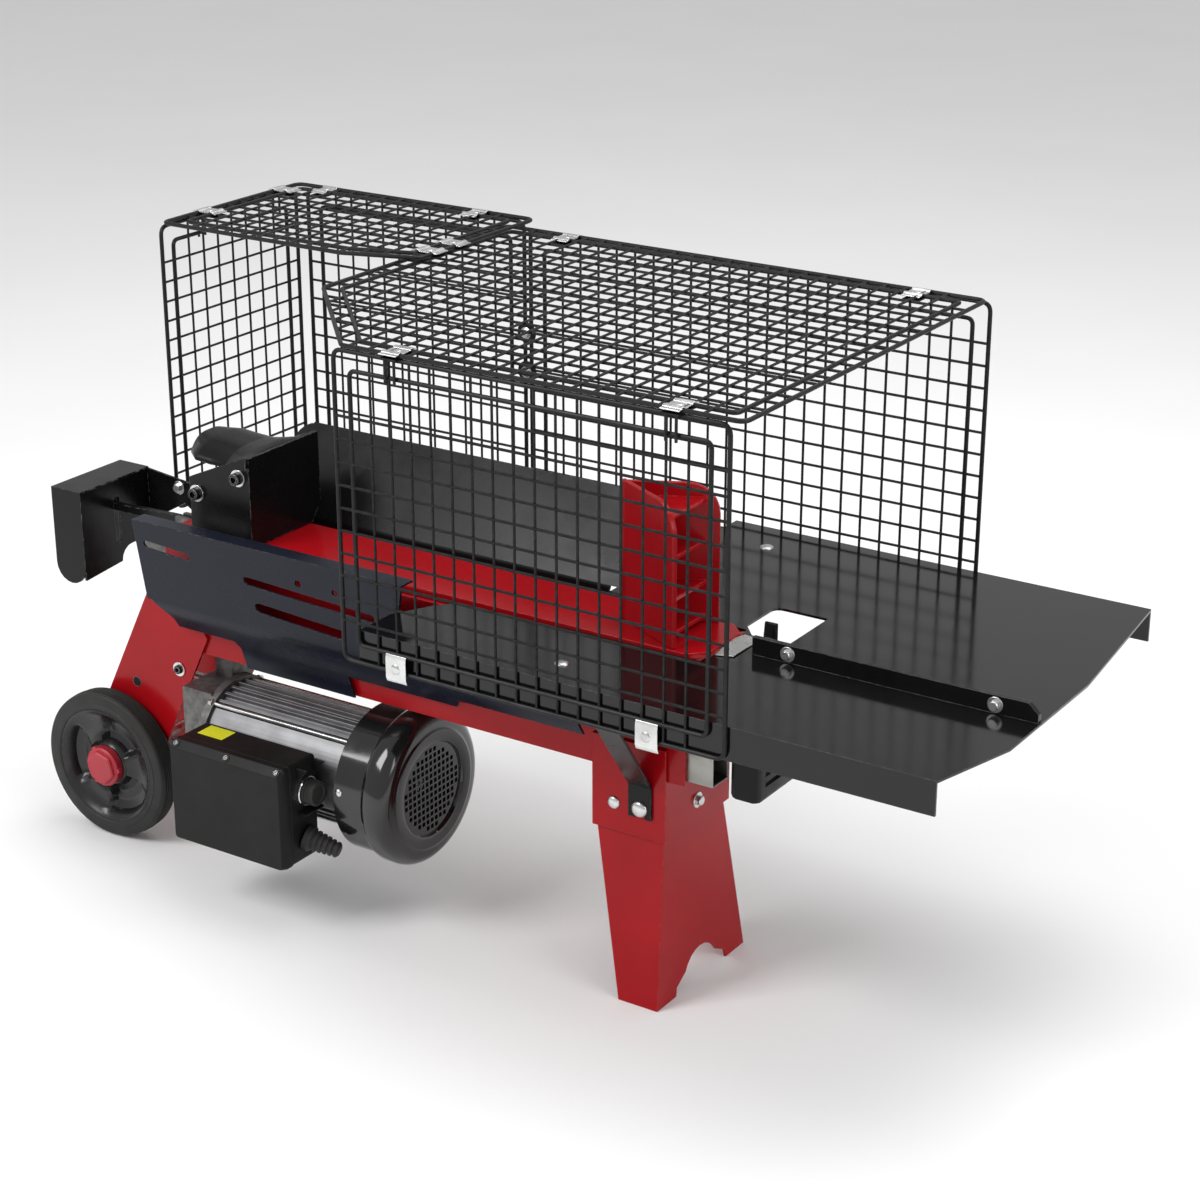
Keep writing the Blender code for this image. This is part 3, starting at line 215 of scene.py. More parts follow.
CHROME = metal("polished_chrome", (0.80, 0.80, 0.81), (0.05, 0.12), depth=0.00002, stain=0.95)
CAST = casting("cast_aluminium", (0.19, 0.187, 0.18))
EXTRUSION = metal("extruded_aluminium", (0.30, 0.30, 0.31), (0.44, 0.54), (0.06, 1.0, 1.0),
                  grain=420.0, depth=0.00003)
GLOSS = moulded("gloss_black_plastic", (0.006, 0.006, 0.0065), (0.08, 0.16), 500.0, 0.00001, coat=0.3)
MATTE = moulded("matte_black_plastic", (0.007, 0.0068, 0.0066), (0.34, 0.48), depth=0.00006, gloss=0.18)
HUB_PLASTIC = moulded("satin_hub_plastic", (0.009, 0.009, 0.009), (0.22, 0.32), 700.0, 0.00003)
RUBBER = moulded("tyre_rubber", (0.016, 0.0155, 0.015), (0.48, 0.66), 700.0, 0.00015, gloss=0.35)
RED_PLASTIC = moulded("red_plastic", (0.33, 0.016, 0.028), (0.36, 0.50))
LABEL = moulded("yellow_label", (0.66, 0.66, 0.02), (0.35, 0.5), 300.0, 0.00002)


# ---- making pieces ----
def piece(name, form, body, material, replaces=(), bevel=0.0, smooth=35.0):
    """Turn a built form, in machine axes, into a piece that rides on a CAD body."""
    bmesh.ops.recalc_face_normals(form, faces=form.faces)
    mesh = bpy.data.meshes.new(name)
    form.to_mesh(mesh)
    form.free()
    mesh.transform(Matrix.Translation(ORIGIN))
    mesh.materials.append(material)
    mesh.shade_smooth()
    mesh.set_sharp_from_angle(angle=math.radians(smooth))
    made = bpy.data.objects.new(name, mesh)
    bpy.context.scene.collection.objects.link(made)
    if bevel:
        soften(made, bevel)
    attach(made, body)
    if replaces:
        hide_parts(*replaces)
    return made


def soften(made, width, angle=35.0, segments=2):
    edge = made.modifiers.new("Bevel", "BEVEL")
    edge.width = width
    edge.segments = segments
    edge.limit_method = "ANGLE"
    edge.angle_limit = math.radians(angle)
    level = made.modifiers.new("Level", "WEIGHTED_NORMAL")
    level.keep_sharp = True


def dress(nodes, material, bevel=0.0008):
    """Keep CAD nodes: join their split faces, round their edges and give them a finish."""
    for name in nodes:
        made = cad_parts[name]
        made.data.materials.clear()
        made.data.materials.append(material)
        made.data.shade_smooth()
        if "custom_normal" in made.data.attributes:
            made.data.attributes.remove(made.data.attributes["custom_normal"])
        weld = made.modifiers.new("Weld", "WELD")
        weld.merge_threshold = 0.00002
        flat = made.modifiers.new("Planar", "DECIMATE")
        flat.decimate_type = "DISSOLVE"
        flat.angle_limit = math.radians(0.6)
        soften(made, bevel)
        made.modifiers["Bevel"].use_clamp_overlap = True


# ---- forms ----
def facing(at, out, along=(0.0, 0.0, 1.0)):
    """A placing whose z axis points along `out`, and whose x axis leans towards `along`."""
    z = Vector(out).normalized()
    x = Vector(along) - z * z.dot(Vector(along))
    x = x.normalized() if x.length > 0.01 else z.orthogonal().normalized()
    turn = Matrix((x, z.cross(x), z)).transposed().to_4x4()
    return Matrix.Translation(Vector(at)) @ turn


def rounded(points, radius, steps=4, loop=False):
    """A line of points with its corners rounded off."""
    points = [Vector(p) for p in points]
    made = []
    for i, here in enumerate(points):
        if not loop and i in (0, len(points) - 1):
            made.append(here)
            continue
        into, away = points[i - 1] - here, points[(i + 1) % len(points)] - here
        reach = radius / math.tan(into.angle(away) / 2)
        reach = min(reach, into.length * 0.49, away.length * 0.49)
        first, last = here + into.normalized() * reach, here + away.normalized() * reach
        for step in range(steps + 1):
            t = step / steps
            made.append(first * (1 - t) ** 2 + here * 2 * t * (1 - t) + last * t ** 2)
    return made


def band(form, first, second):
    """Faces between two closed rings with the same number of points."""
    count = len(first)
    for k in range(count):
        n = (k + 1) % count
        form.faces.new((first[k], first[n], second[n], second[k]))


def tube(form, points, radius, sides, loop=False, up=None):
    """A round bar along a line of points, capped unless it closes on itself."""
    points = [Vector(p) for p in points]
    count = len(points)
    normal = Vector(up) if up else None
    rings = []
    for i, here in enumerate(points):
        before = points[i - 1] if i or loop else here
        after = points[(i + 1) % count] if i < count - 1 or loop else here
        along = (after - before).normalized()
        normal = normal - along * along.dot(normal) if normal else along.orthogonal()
        normal.normalize()
        across = along.cross(normal)
        ring = []
        for k in range(sides):
            angle = 2 * math.pi * (k + 0.5) / sides
            spoke = math.cos(angle) * normal + math.sin(angle) * across
            ring.append(form.verts.new(here + radius * spoke))
        rings.append(ring)
    joints = list(zip(rings, rings[1:]))
    if loop:
        joints.append((rings[-1], rings[0]))
    else:
        form.faces.new(rings[0][::-1])
        form.faces.new(rings[-1])
    for first, second in joints:
        band(form, first, second)


AXES = {
    "XY": lambda u, v, w: (u, v, w),
    "XZ": lambda u, v, w: (u, w, v),
    "YZ": lambda u, v, w: (w, u, v),
}


def prism(form, plane, outline, low, high, holes=(), placing=None):
    """An outline with holes, given thickness from low to high across its plane."""
    rings = [[Vector((p[0], p[1], 0.0)) for p in ring] for ring in (outline, *holes)]
    flat = [point for ring in rings for point in ring]
    levels = []
    for w in (low, high):
        spots = [Vector(AXES[plane](p.x, p.y, w)) for p in flat]
        if placing:
            spots = [placing @ p for p in spots]
        levels.append([form.verts.new(p) for p in spots])
    caps = []
    for triangle in tessellate_polygon(rings):
        for level in levels:
            caps.append(form.faces.new([level[i] for i in triangle]))
    start = 0
    for ring in rings:
        for i in range(len(ring)):
            a, b = start + i, start + (i + 1) % len(ring)
            form.faces.new((levels[0][a], levels[0][b], levels[1][b], levels[1][a]))
        start += len(ring)
    if not holes:
        flat_faces = set(caps)
        inner = {edge for face in caps for edge in face.edges if flat_faces.issuperset(edge.link_faces)}
        bmesh.ops.dissolve_edges(form, edges=list(inner))


def turn(form, placing, profile, steps=48, closed=False):
    """A profile of (radius, height) points turned about a placing's z axis."""
    rings = []
    for radius, height in profile:
        if radius < 1e-6:
            rings.append([form.verts.new(placing @ Vector((0.0, 0.0, height)))])
            continue
        ring = []
        for k in range(steps):
            angle = 2 * math.pi * k / steps
            rim = Vector((radius * math.cos(angle), radius * math.sin(angle), height))
            ring.append(form.verts.new(placing @ rim))
        rings.append(ring)
    joints = list(zip(rings, rings[1:]))
    if closed:
        joints.append((rings[-1], rings[0]))
    for first, second in joints:
        for k in range(steps):
            n = (k + 1) % steps
            corners = [first[k % len(first)], first[n % len(first)],
                       second[n % len(second)], second[k % len(second)]]
            kept = list(dict.fromkeys(corners))
            if len(kept) > 2:
                form.faces.new(kept)


def arc(centre, radius, start, end, steps):
    """Points along an arc, with its angles in degrees."""
    angles = [math.radians(start + (end - start) * i / steps) for i in range(steps + 1)]
    return [(centre[0] + radius * math.cos(a), centre[1] + radius * math.sin(a)) for a in angles]


def polygon(count, radius, offset=0.0):
    return arc((0.0, 0.0), radius, offset, offset + 360.0 * (count - 1) / count, count - 1)


def rectangle(u0, v0, u1, v1):
    return [(u0, v0), (u1, v0), (u1, v1), (u0, v1)]


def hex_bolt(form, at, out, across, height, washer):
    """Washer and hexagon head with a turned-down crown."""
    placing = facing(at, out)
    thick = 0.0012
    disc = [(0.0, thick), (washer - 0.0003, thick), (washer, thick * 0.6), (washer, 0.0), (0.0, 0.0)]
    turn(form, placing, disc, 28)
    half = across / 2 / math.cos(math.radians(30))
    prism(form, "XY", polygon(6, half, 15), thick * 0.9, thick + height * 0.8, placing=placing)
    top = thick + height
    shoulder = top - height * 0.22
    turn(form, placing, [(0.0, top), (half * 0.80, top), (half * 0.93, shoulder), (0.0, shoulder)], 24)


def dome_bolt(form, at, out, radius, height):
    """Low domed head, as on a carriage bolt."""
    dome = [(0.0, height)]
    for i in range(1, 6):
        angle = math.radians(90 * i / 6)
        dome.append((radius * math.sin(angle), height * math.cos(angle) ** 0.8))
    dome += [(radius, height * 0.12), (radius, -0.0005), (0.0, -0.0005)]
    turn(form, facing(at, out), dome, 28)


def cap_bolt(form, at, out, radius, height):
    """Socket-head screw: knurled drum with a hexagon recess."""
    placing = facing(at, out)
    recess = radius * 0.55
    turn(form, placing, [
        (recess, height), (radius * 0.9, height), (radius, height - 0.0008), (radius, 0.0), (0.0, 0.0),
        (0.0, height * 0.45), (recess, height * 0.45),
    ], 28, closed=True)


def pan_screw(form, at, out, radius, height):
    """Pan head with a cross recess."""
    placing = facing(at, out)
    rim = polygon(24, radius)
    arm, wide = radius * 0.6, radius * 0.16
    cross = [(arm, -wide), (arm, wide), (wide, wide), (wide, arm), (-wide, arm), (-wide, wide),
             (-arm, wide), (-arm, -wide), (-wide, -wide), (-wide, -arm), (wide, -arm), (wide, -wide)]
    prism(form, "XY", rim, height * 0.3, height, [cross], placing)
    turn(form, placing, [(0.0, height * 0.3), (radius, height * 0.3), (radius * 1.04, 0.0), (0.0, 0.0)], 24)


def washer_ring(form, at, out, inner, outer, thick):
    profile = [(inner, thick), (outer, thick), (outer, 0.0), (inner, 0.0)]
    turn(form, facing(at, out), profile, 32, closed=True)


# ---- cage ----
ROD = 0.0025                # radius of the perimeter rods
WIRE = 0.00155              # radius of the mesh wires
PITCH = 0.025               # from wire to wire
ROD_STEP = 0.020            # outer rod to inner rod
SEAM_X = -0.3525            # where the rear panel's two meshes meet
SEAM_HALF = 0.0045


def clipped(ring, normal, limit):
    """The part of a convex ring on the inner side of a slanted line."""
    kept = []
    for here, after in zip(ring, ring[1:] + ring[:1]):
        a = here[0] * normal[0] + here[1] * normal[1] - limit
        b = after[0] * normal[0] + after[1] * normal[1] - limit
        if a <= 0:
            kept.append(here)
        if a * b < 0:
            share = a / (a - b)
            kept.append((here[0] + (after[0] - here[0]) * share, here[1] + (after[1] - here[1]) * share))
    return kept


def inset(ring, distance):
    """A convex ring moved in by a distance on every side."""
    made = ring
    count = len(ring)
    for i in range(count):
        run = (Vector(ring[(i + 1) % count]) - Vector(ring[i])).normalized()
        normal = (run.y, -run.x)
        made = clipped(made, normal, Vector(normal).dot(Vector(ring[i])) - distance)
    return made


def crossing(ring, axis, value):
    """Where a line at `value` along one axis enters and leaves a convex ring."""
    found = []
    for here, after in zip(ring, ring[1:] + ring[:1]):
        low, high = sorted((here[axis], after[axis]))
        if low <= value <= high and high - low > 1e-9:
            share = (value - here[axis]) / (after[axis] - here[axis])
            found.append(here[1 - axis] + share * (after[1 - axis] - here[1 - axis]))
    return min(found), max(found)


def welded_panel(form, plane, corner, opposite, level, chamfer=None):
    """Outer and inner perimeter rods with mesh wires welded to both faces of them."""
    (u0, v0), (u1, v1) = corner, opposite
    ring = rectangle(u0, v0, u1, v1)
    if chamfer:
        run = (Vector(chamfer[1]) - Vector(chamfer[0])).normalized()
        normal = (run.y, -run.x)
        ring = clipped(ring, normal, Vector(normal).dot(Vector(chamfer[0])))
    lift = AXES[plane]
    up = lift(0.0, 0.0, 1.0)
    for path, bend in ((ring, 0.011), (inset(ring, ROD_STEP), 0.008)):
        flat = [Vector(lift(u, v, level)) for u, v in path]
        tube(form, rounded(flat, bend, 5, True), ROD, 10, True, up)
    for axis, low, high, side in ((0, u0, u1, 1), (1, v0, v1, -1)):
        inner_low, inner_high = low + ROD_STEP, high - ROD_STEP
        count = round((inner_high - inner_low) / PITCH)
        for i in range(1, count):
            value = inner_low + (inner_high - inner_low) * i / count
            start, end = crossing(ring, axis, value)
            w = level + side * WIRE * 0.55
            ends = [(value, start), (value, end)] if axis == 0 else [(start, value), (end, value)]
            tube(form, [lift(u, v, w) for u, v in ends], WIRE, 6)


def rods_of(node, plane):
    """Corners of the outer rod's centre line, and its level, from a panel's CAD box."""
    low, high = spot(node)
    pick = {"XY": (0, 1, 2), "XZ": (0, 2, 1), "YZ": (1, 2, 0)}[plane]
    corner = (low[pick[0]] + ROD, low[pick[1]] + ROD)
    opposite = (high[pick[0]] - ROD, high[pick[1]] - ROD)
    return corner, opposite, (low[pick[2]] + high[pick[2]]) / 2


def cage_mesh(name, node, plane, corner, opposite, level, chamfer=None):
    """One welded panel as a piece that stands for a CAD panel."""
    form = bmesh.new()
    welded_panel(form, plane, corner, opposite, level, chamfer)
    piece(name, form, "frame", CAGE_COAT, [node])


def cage():
    """Near and left panels, the rear one in two meshes, and two top panels with a slanted corner each."""
    cage_mesh("cage_near_mesh", "cage_near_panel", "XZ", *rods_of("cage_near_panel", "XZ"))

    corner, opposite, level = rods_of("cage_rear_panel", "XZ")
    left_end, right_start = SEAM_X - SEAM_HALF, SEAM_X + SEAM_HALF
    right_top = opposite[1] - 0.010
    cage_mesh("cage_rear_left_mesh", "cage_rear_panel", "XZ", corner, (left_end, opposite[1]), level)
    cage_mesh("cage_rear_right_mesh", "cage_rear_panel", "XZ", (right_start, corner[1]),
              (opposite[0], right_top), level)

    cage_mesh("cage_left_mesh", "cage_left_panel", "YZ", *rods_of("cage_left_panel", "YZ"))

    corner, opposite, level = rods_of("cage_left_top", "XY")
    slant = ((-0.4330, corner[1]), (opposite[0], 0.1160))
    cage_mesh("cage_left_top_mesh", "cage_left_top", "XY", corner, opposite, level, slant)

    corner, opposite, level = rods_of("cage_top_panel", "XY")
    slant = ((corner[0], -0.0100), (-0.2220, corner[1]))
    cage_mesh("cage_top_mesh", "cage_top_panel", "XY", corner, opposite, level, slant)


def offset_path(path, thickness):
    """A closed outline along a bent path, with its thickness on the left-hand side."""
    inner = []
    for i, point in enumerate(path):
        here = Vector(point)
        before = (here - Vector(path[i - 1])).normalized() if i else None
        after = (Vector(path[i + 1]) - here).normalized() if i < len(path) - 1 else None
        first, second = before or after, after or before
        side = Vector((-first.y - second.y, first.x + second.x)).normalized()
        inner.append(tuple(here + side * (thickness / side.dot(Vector((-first.y, first.x))))))
    return list(path) + inner[::-1]


def saddle_clip(zinc, dark, at, across, prongs=None):
    """Plate humped over two rods, screwed to a strip under them; prongs may hang from the strip."""
    half_step = ROD_STEP / 2
    hump = ROD + 0.0001
    wing, wing_level = 0.0180, 0.0004
    line = [(-wing, wing_level)]
    for middle in (-half_step, half_step):
        line += arc((middle, 0.0), hump, 165, 15, 6)
    line += [(wing, wing_level)]
    placing = facing(at, (0.0, 0.0, 1.0), across) @ Matrix.Rotation(math.pi / 2, 4, "X")
    wide = 0.0110
    prism(zinc, "XY", offset_path(line, 0.0013), -wide, wide, placing=placing)
    hex_bolt(zinc, Vector(at) + Vector((0.0, 0.0, -0.0016)), (0.0, 0.0, 1.0), 0.0085, 0.0030, 0.0060)
    strip = rectangle(-0.0175, -0.0042, 0.0175, -0.0026)
    prism(dark, "XY", strip, -wide * 0.9, wide * 0.9, placing=placing)
    if prongs:
        out = Vector(prongs)
        along = Vector((-out.y, out.x, 0.0))
        for side in (-0.0058, 0.0058):
            top = Vector(at) + out * 0.0145 + along * side
            path = [top + Vector((0, 0, -0.003)), top + Vector((0, 0, -0.031))]
            tube(dark, path, 0.0016, 8)


def cage_clips():
    """Saddle clips along the top panels' edges, and two bolted discs on the rear panel's seam."""
    zinc, dark = bmesh.new(), bmesh.new()
    left_low, left_high = spot("cage_left_top")
    top_low, top_high = spot("cage_top_panel")
    inward = ROD + ROD_STEP / 2
    sink = 0.0036           # the rear clips stay inside the cage's outline
    high_level = (left_low.z + left_high.z) / 2
    low_level = (top_low.z + top_high.z) / 2
    for x in (-0.646, -0.417):
        saddle_clip(zinc, dark, (x, left_high.y - inward - sink, high_level), (0, 1, 0))
    for x in (-0.283, 0.175):
        saddle_clip(zinc, dark, (x, top_high.y - inward - sink, low_level), (0, 1, 0))
    for y in (0.300, 0.160):
        saddle_clip(zinc, dark, (left_low.x + inward, y, high_level), (1, 0, 0), (-1, 0, 0))
    for y in (0.191, 0.147):
        saddle_clip(zinc, dark, (left_high.x - inward, y, high_level), (1, 0, 0))
    for x in (-0.158, 0.173):
        saddle_clip(zinc, dark, (x, top_low.y + inward, low_level), (0, 1, 0), (0, -1, 0))
    towards = (0, -1, 0)
    face = spot("cage_rear_panel")[0].y - 0.0002
    disc = [(0.0, 0.002), (0.0125, 0.002), (0.0135, 0.001), (0.0135, 0.0), (0.0, 0.0)]
    for z in (0.582, 0.533):
        turn(dark, facing((SEAM_X, face, z), towards), disc, 16)
        hex_bolt(zinc, (SEAM_X, face - 0.0018, z), towards, 0.010, 0.004, 0.0075)
    piece("cage_clips", zinc, "frame", ZINC, bevel=0.0003)
    piece("cage_clip_backs", dark, "frame", CAGE_COAT)


def lower_clips():
    """Hooked straps that hold the near panel's foot to the table's flange."""
    for name in ("near_clip_left", "near_clip_right"):
        low, high = spot(name)
        middle = (low.x + high.x) / 2
        form = bmesh.new()
        half = 0.0130
        skin = high.y
        head, foot = high.z + 0.0045, low.z - 0.0035
        line = [(skin + 0.0012, head), (skin - 0.0003, head), (skin - 0.0012, head - 0.004),
                (skin - 0.0012, foot + 0.005), (skin + 0.0004, foot + 0.001), (skin + 0.0012, foot)]
        prism(form, "YZ", offset_path(line, -0.0012), middle - half, middle + half)
        dome_bolt(form, (middle, skin - 0.0020, (low.z + high.z) / 2 + 0.001), (0, -1, 0), 0.0060, 0.0022)
        piece(name + "_strap", form, "frame", ZINC, [name], bevel=0.0004)


# ---- wheels ----
BOSS_R = 0.0285             # radius of the hub's middle
DISH = 0.0330               # width of the sunk ring round it
CAP_R = 0.0247


def tyre_form(placing, radius, half, rim):
    """Ribbed, slightly crowned tread between two round shoulders, and flat walls down to the rim."""
    form = bmesh.new()
    shoulder = half - 0.0062
    bend, recess, groove = 0.0045, 0.0012, 0.0022
    edge = radius - 0.0010
    profile = [(rim - 0.0010, half - 0.0020), (rim + 0.0015, half), (rim + 0.0060, half),
               (rim + 0.0067, half - 0.0008), (rim + 0.0100, half - recess)]
    profile += [(edge - bend + bend * math.sin(a), half - recess - bend + bend * math.cos(a))
                for a in (0.3, 0.7, 1.1, 1.5)]
    ribs = 6
    span = 2 * shoulder
    for i in range(ribs):
        top = shoulder - span * i / ribs
        foot = shoulder - span * (i + 1) / ribs
        crown = radius - 0.0010 * abs(top + foot) / span
        profile += [(crown, top - 0.0003), (crown, foot + 0.0019), (crown - groove, foot + 0.0015),
                    (crown - groove, foot + 0.0003)]
    profile += [(edge, -half + 0.0060)]
    profile += [(edge - bend + bend * math.sin(a), -half + recess + bend - bend * math.cos(a))
                for a in (1.4, 1.0, 0.6, 0.2)]
    profile += [(rim + 0.0060, -half), (rim + 0.0015, -half), (rim - 0.0010, -half + 0.002)]
    turn(form, placing, profile, 96, closed=True)
    return form


def hub_form(placing, half, rim):
    """Rings from the bore out over the boss, the dish and the rim, and back behind them."""
    form = bmesh.new()
    bore = 0.0082
    dish_steps = 12
    rings = [(bore, half - 0.0065), (BOSS_R - 0.003, half - 0.0065), (BOSS_R, half - 0.0095)]
    rings += [(BOSS_R + DISH * i / dish_steps, None) for i in range(1, dish_steps + 1)]
    rings += [(rim - 0.0085, half - 0.0060), (rim - 0.0045, half - 0.0022), (rim - 0.0020, half - 0.0006),
              (rim - 0.0004, half - 0.0012), (rim - 0.0004, -half + 0.0012), (rim - 0.0030, -half),
              (0.0630, -half + 0.001), (0.0590, -0.006), (0.0270, -0.006), (0.0200, -half), (bore, -half)]
    sculpted(form, placing, rings, half)
    return form


def cap_form(placing, half, side):
    """Round snap-on cap with a soft hexagonal crown and three studs at its rim."""
    form = bmesh.new()
    base = half - 0.0057
    turn(form, placing, [(0.0, base + 0.0105), (CAP_R - 0.0018, base + 0.0105), (CAP_R, base + 0.0088),
                         (CAP_R, base), (0.0, base)], 60)
    crown = soft_polygon(6, CAP_R - 0.0022, 0.0052)
    loft(form, placing, [[Vector((u * share, v * share, base + rise)) for u, v in crown]
                         for share, rise in ((1.0, 0.0100), (0.97, 0.0132), (0.88, 0.0146), (0.62, 0.0142))])
    stud_at = 0.0240
    stud = [(0.0, 0.0052), (0.0024, 0.0052), (0.0030, 0.0044), (0.0030, 0.0), (0.0, 0.0)]
    for k in range(3):
        angle = math.radians(30 + 120 * k)
        foot = placing @ Vector((stud_at * math.cos(angle), stud_at * math.sin(angle), base + 0.0040))
        turn(form, facing(foot, (0, side, 0)), stud, 12)
    return form


def wheels():
    """Tyre, hub and cap of each wheel, sized from its CAD nodes; the near wheel faces the operator."""
    for name, side in (("near", -1), ("far", 1)):
        low, high = spot(f"wheel_tyre_{name}")
        hub_low, hub_high = spot(f"wheel_hub_{name}")
        placing = facing((low + high) / 2, (0, side, 0))
        radius, half = (high.z - low.z) / 2, (high.y - low.y) / 2
        rim = (hub_high.z - hub_low.z) / 2
        body = f"wheel_{name}"
        piece(f"tyre_{name}", tyre_form(placing, radius, half, rim), body, RUBBER,
              [f"wheel_tyre_{name}"], smooth=28)
        piece(f"hub_{name}", hub_form(placing, half, rim), body, HUB_PLASTIC,
              [f"wheel_hub_{name}"], smooth=40)
        piece(f"cap_{name}", cap_form(placing, half, side), body, RED_PLASTIC,
              [f"wheel_cap_{name}"], smooth=32)


def soft_polygon(sides, radius, bend):
    """A polygon with rounded corners."""
    path = [(u, v, 0.0) for u, v in polygon(sides, radius, 15.0)]
    return [(p.x, p.y) for p in rounded(path, bend, loop=True)]


def sculpted(form, placing, rings, half):
    """The hub's face: three broad spokes stand out of the dish between its boss and rim."""
    steps = 96
    made = []
    for radius, height in rings:
        ring = []
        for k in range(steps):
            angle = 2 * math.pi * k / steps
            level = height
            if level is None:
                share = (radius - BOSS_R) / DISH
                floor = half - 0.0165 - 0.0055 * math.sin(math.pi * share)
                wave = math.cos(3 * (angle - math.radians(38)) + 0.5 * share)
                spoke = 1 / (1 + math.exp(-16.0 * (wave - 0.25)))
                level = floor + 0.0125 * spoke * (1 - 0.25 * share)
            here = Vector((radius * math.cos(angle), radius * math.sin(angle), level))
            ring.append(form.verts.new(placing @ here))
        made.append(ring)
    for first, second in [*zip(made, made[1:]), (made[-1], made[0])]:
        band(form, first, second)


def loft(form, placing, rings):
    """Skin a stack of rings with the same number of points, and cap both ends."""
    levels = [[form.verts.new(placing @ p) for p in ring] for ring in rings]
    form.faces.new(levels[0])
    form.faces.new(levels[-1])
    for first, second in zip(levels, levels[1:]):
        band(form, first, second)


# ---- wedge and pusher ----
def pusher_tongue():
    """Flap folded back off the push plate's rounded top edge; its two long sides bend down."""
    low, high = spot("pusher_tongue")
    plate_top = spot("pusher")[1]
    middle = (high.y + low.y) / 2
    half = (high.y - low.y) / 2 + 0.005
    thick = 0.003
    nose = plate_top.x - 0.0006
    bend = 0.0060
    end = low.x + 0.0010
    fold = (nose - bend, plate_top.z - bend + 0.0006)
    over = [(nose + 0.0001, plate_top.z - 0.0095), *arc(fold, bend, 0, 90, 6)]
    # how far behind the fold, and how far above the plate's top
    rises = ((0.0160, 0.0008), (0.0380, -0.0008), (0.0600, 0.0006), (0.0820, 0.0022), (nose - end, 0.0030))
    path = [over[-1], *((nose - back, plate_top.z + rise) for back, rise in rises)]
    line = over[:-1] + [(p.x, p.y) for p in rounded([(u, v, 0.0) for u, v in path], 0.012)]
    front = line[0][0]
    corner = 0.017          # radius of the flap's free corners
    droop_most = 0.0165     # how far its long sides bend down
    rows = 24
    form = bmesh.new()
    levels = []
    for u, v in line:
        share = (front - u) / (front - end)
        narrow = corner - math.sqrt(max(corner ** 2 - max(corner - (u - end), 0.0) ** 2, 0.0))
        width = half - narrow + 0.010 * max(0.0, 1.0 - share * 12)
        ring_top, ring_under = [], []
        for j in range(rows + 1):
            t = 2 * j / rows - 1
            droop = droop_most * abs(t) ** 3.2 * min(1.0, share * 2.4)
            ring_top.append(form.verts.new((u, middle + width * t, v - droop)))
            ring_under.append(form.verts.new((u - thick * 0.3, middle + width * t, v - droop - thick)))
        levels.append(ring_top + ring_under[::-1])
    for ring, after in zip(levels, levels[1:]):
        band(form, ring, after)
    for ring in (levels[0], levels[-1]):
        for j in range(rows):
            form.faces.new((ring[j], ring[j + 1], ring[-2 - j], ring[-1 - j]))
    piece("tongue", form, "ram", BLACK_PAINT, ["pusher_tongue"], smooth=50)


def pusher_bolts():
    """Two socket screws with washers on each side of the pusher."""
    black, rings = bmesh.new(), bmesh.new()
    low, high = spot("pusher")
    for side, face in ((-1, low.y), (1, high.y)):
        for x, z in ((-0.5400, 0.4560), (-0.4770, 0.4855)):
            at = (x, face + side * 0.0001, z)
            washer_ring(rings, at, (0, side, 0), 0.0070, 0.0102, 0.0018)
            cap_bolt(black, (x, face + side * 0.0015, z), (0, side, 0), 0.0072, 0.0075)
    piece("pusher_bolts", black, "ram", DARK_BOLT, smooth=40)
    piece("pusher_washers", rings, "ram", ZINC, bevel=0.0003)


# ---- motor ----
def motor_axis():
    low, high = spot("motor_housing")
    return (low.y + high.y) / 2, (low.z + high.z) / 2


def motor_housing():
    """Extruded housing: fins over the top and far side, a smooth panel towards the switch box."""
    y, z = motor_axis()
    low, high = spot("motor_housing")
    outer = (high.z - low.z) / 2
    root = outer - 0.0055
    ring = []
    angle = 0.0
    # all in degrees
    fin_step, fin_wide, fin_lean = 11.0, 4.6, 0.7
    smooth_from, smooth_to = 134.0, 212.0
    while angle < 360.0 - fin_step * 0.4:
        if smooth_from - fin_step * 0.4 < angle < smooth_to:
            if angle < smooth_to - 4:
                ring += [(outer - 0.0010, angle), (outer - 0.0010, angle + 3.9)]
            angle += 4.0
            continue
        ring += [(root, angle), (outer, angle + fin_lean), (outer, angle + fin_wide - fin_lean),
                 (root, angle + fin_wide)]
        angle += fin_step
    outline = [(y + r * math.cos(math.radians(a)), z + r * math.sin(math.radians(a))) for r, a in ring]
    bore = [(y + u, z + v) for u, v in polygon(48, 0.0570)]
    form = bmesh.new()
    prism(form, "YZ", outline, low.x, high.x, [bore])
    piece("motor_housing_fins", form, "frame", EXTRUSION, ["motor_housing"], bevel=0.0006)

    ties = bmesh.new()
    reach = outer + 0.0012
    for a in (129.0, 51.0, 231.0, 309.0):
        turned = math.radians(a)
        ty, tz = y + reach * math.cos(turned), z + reach * math.sin(turned)
        tube(ties, [(low.x - 0.004, ty, tz), (high.x + 0.003, ty, tz)], 0.0024, 10)
        hex_bolt(ties, (low.x - 0.003, ty, tz), (-1, 0, 0), 0.0085, 0.005, 0.0055)
    piece("motor_tie_rods", ties, "frame", ZINC, smooth=40)


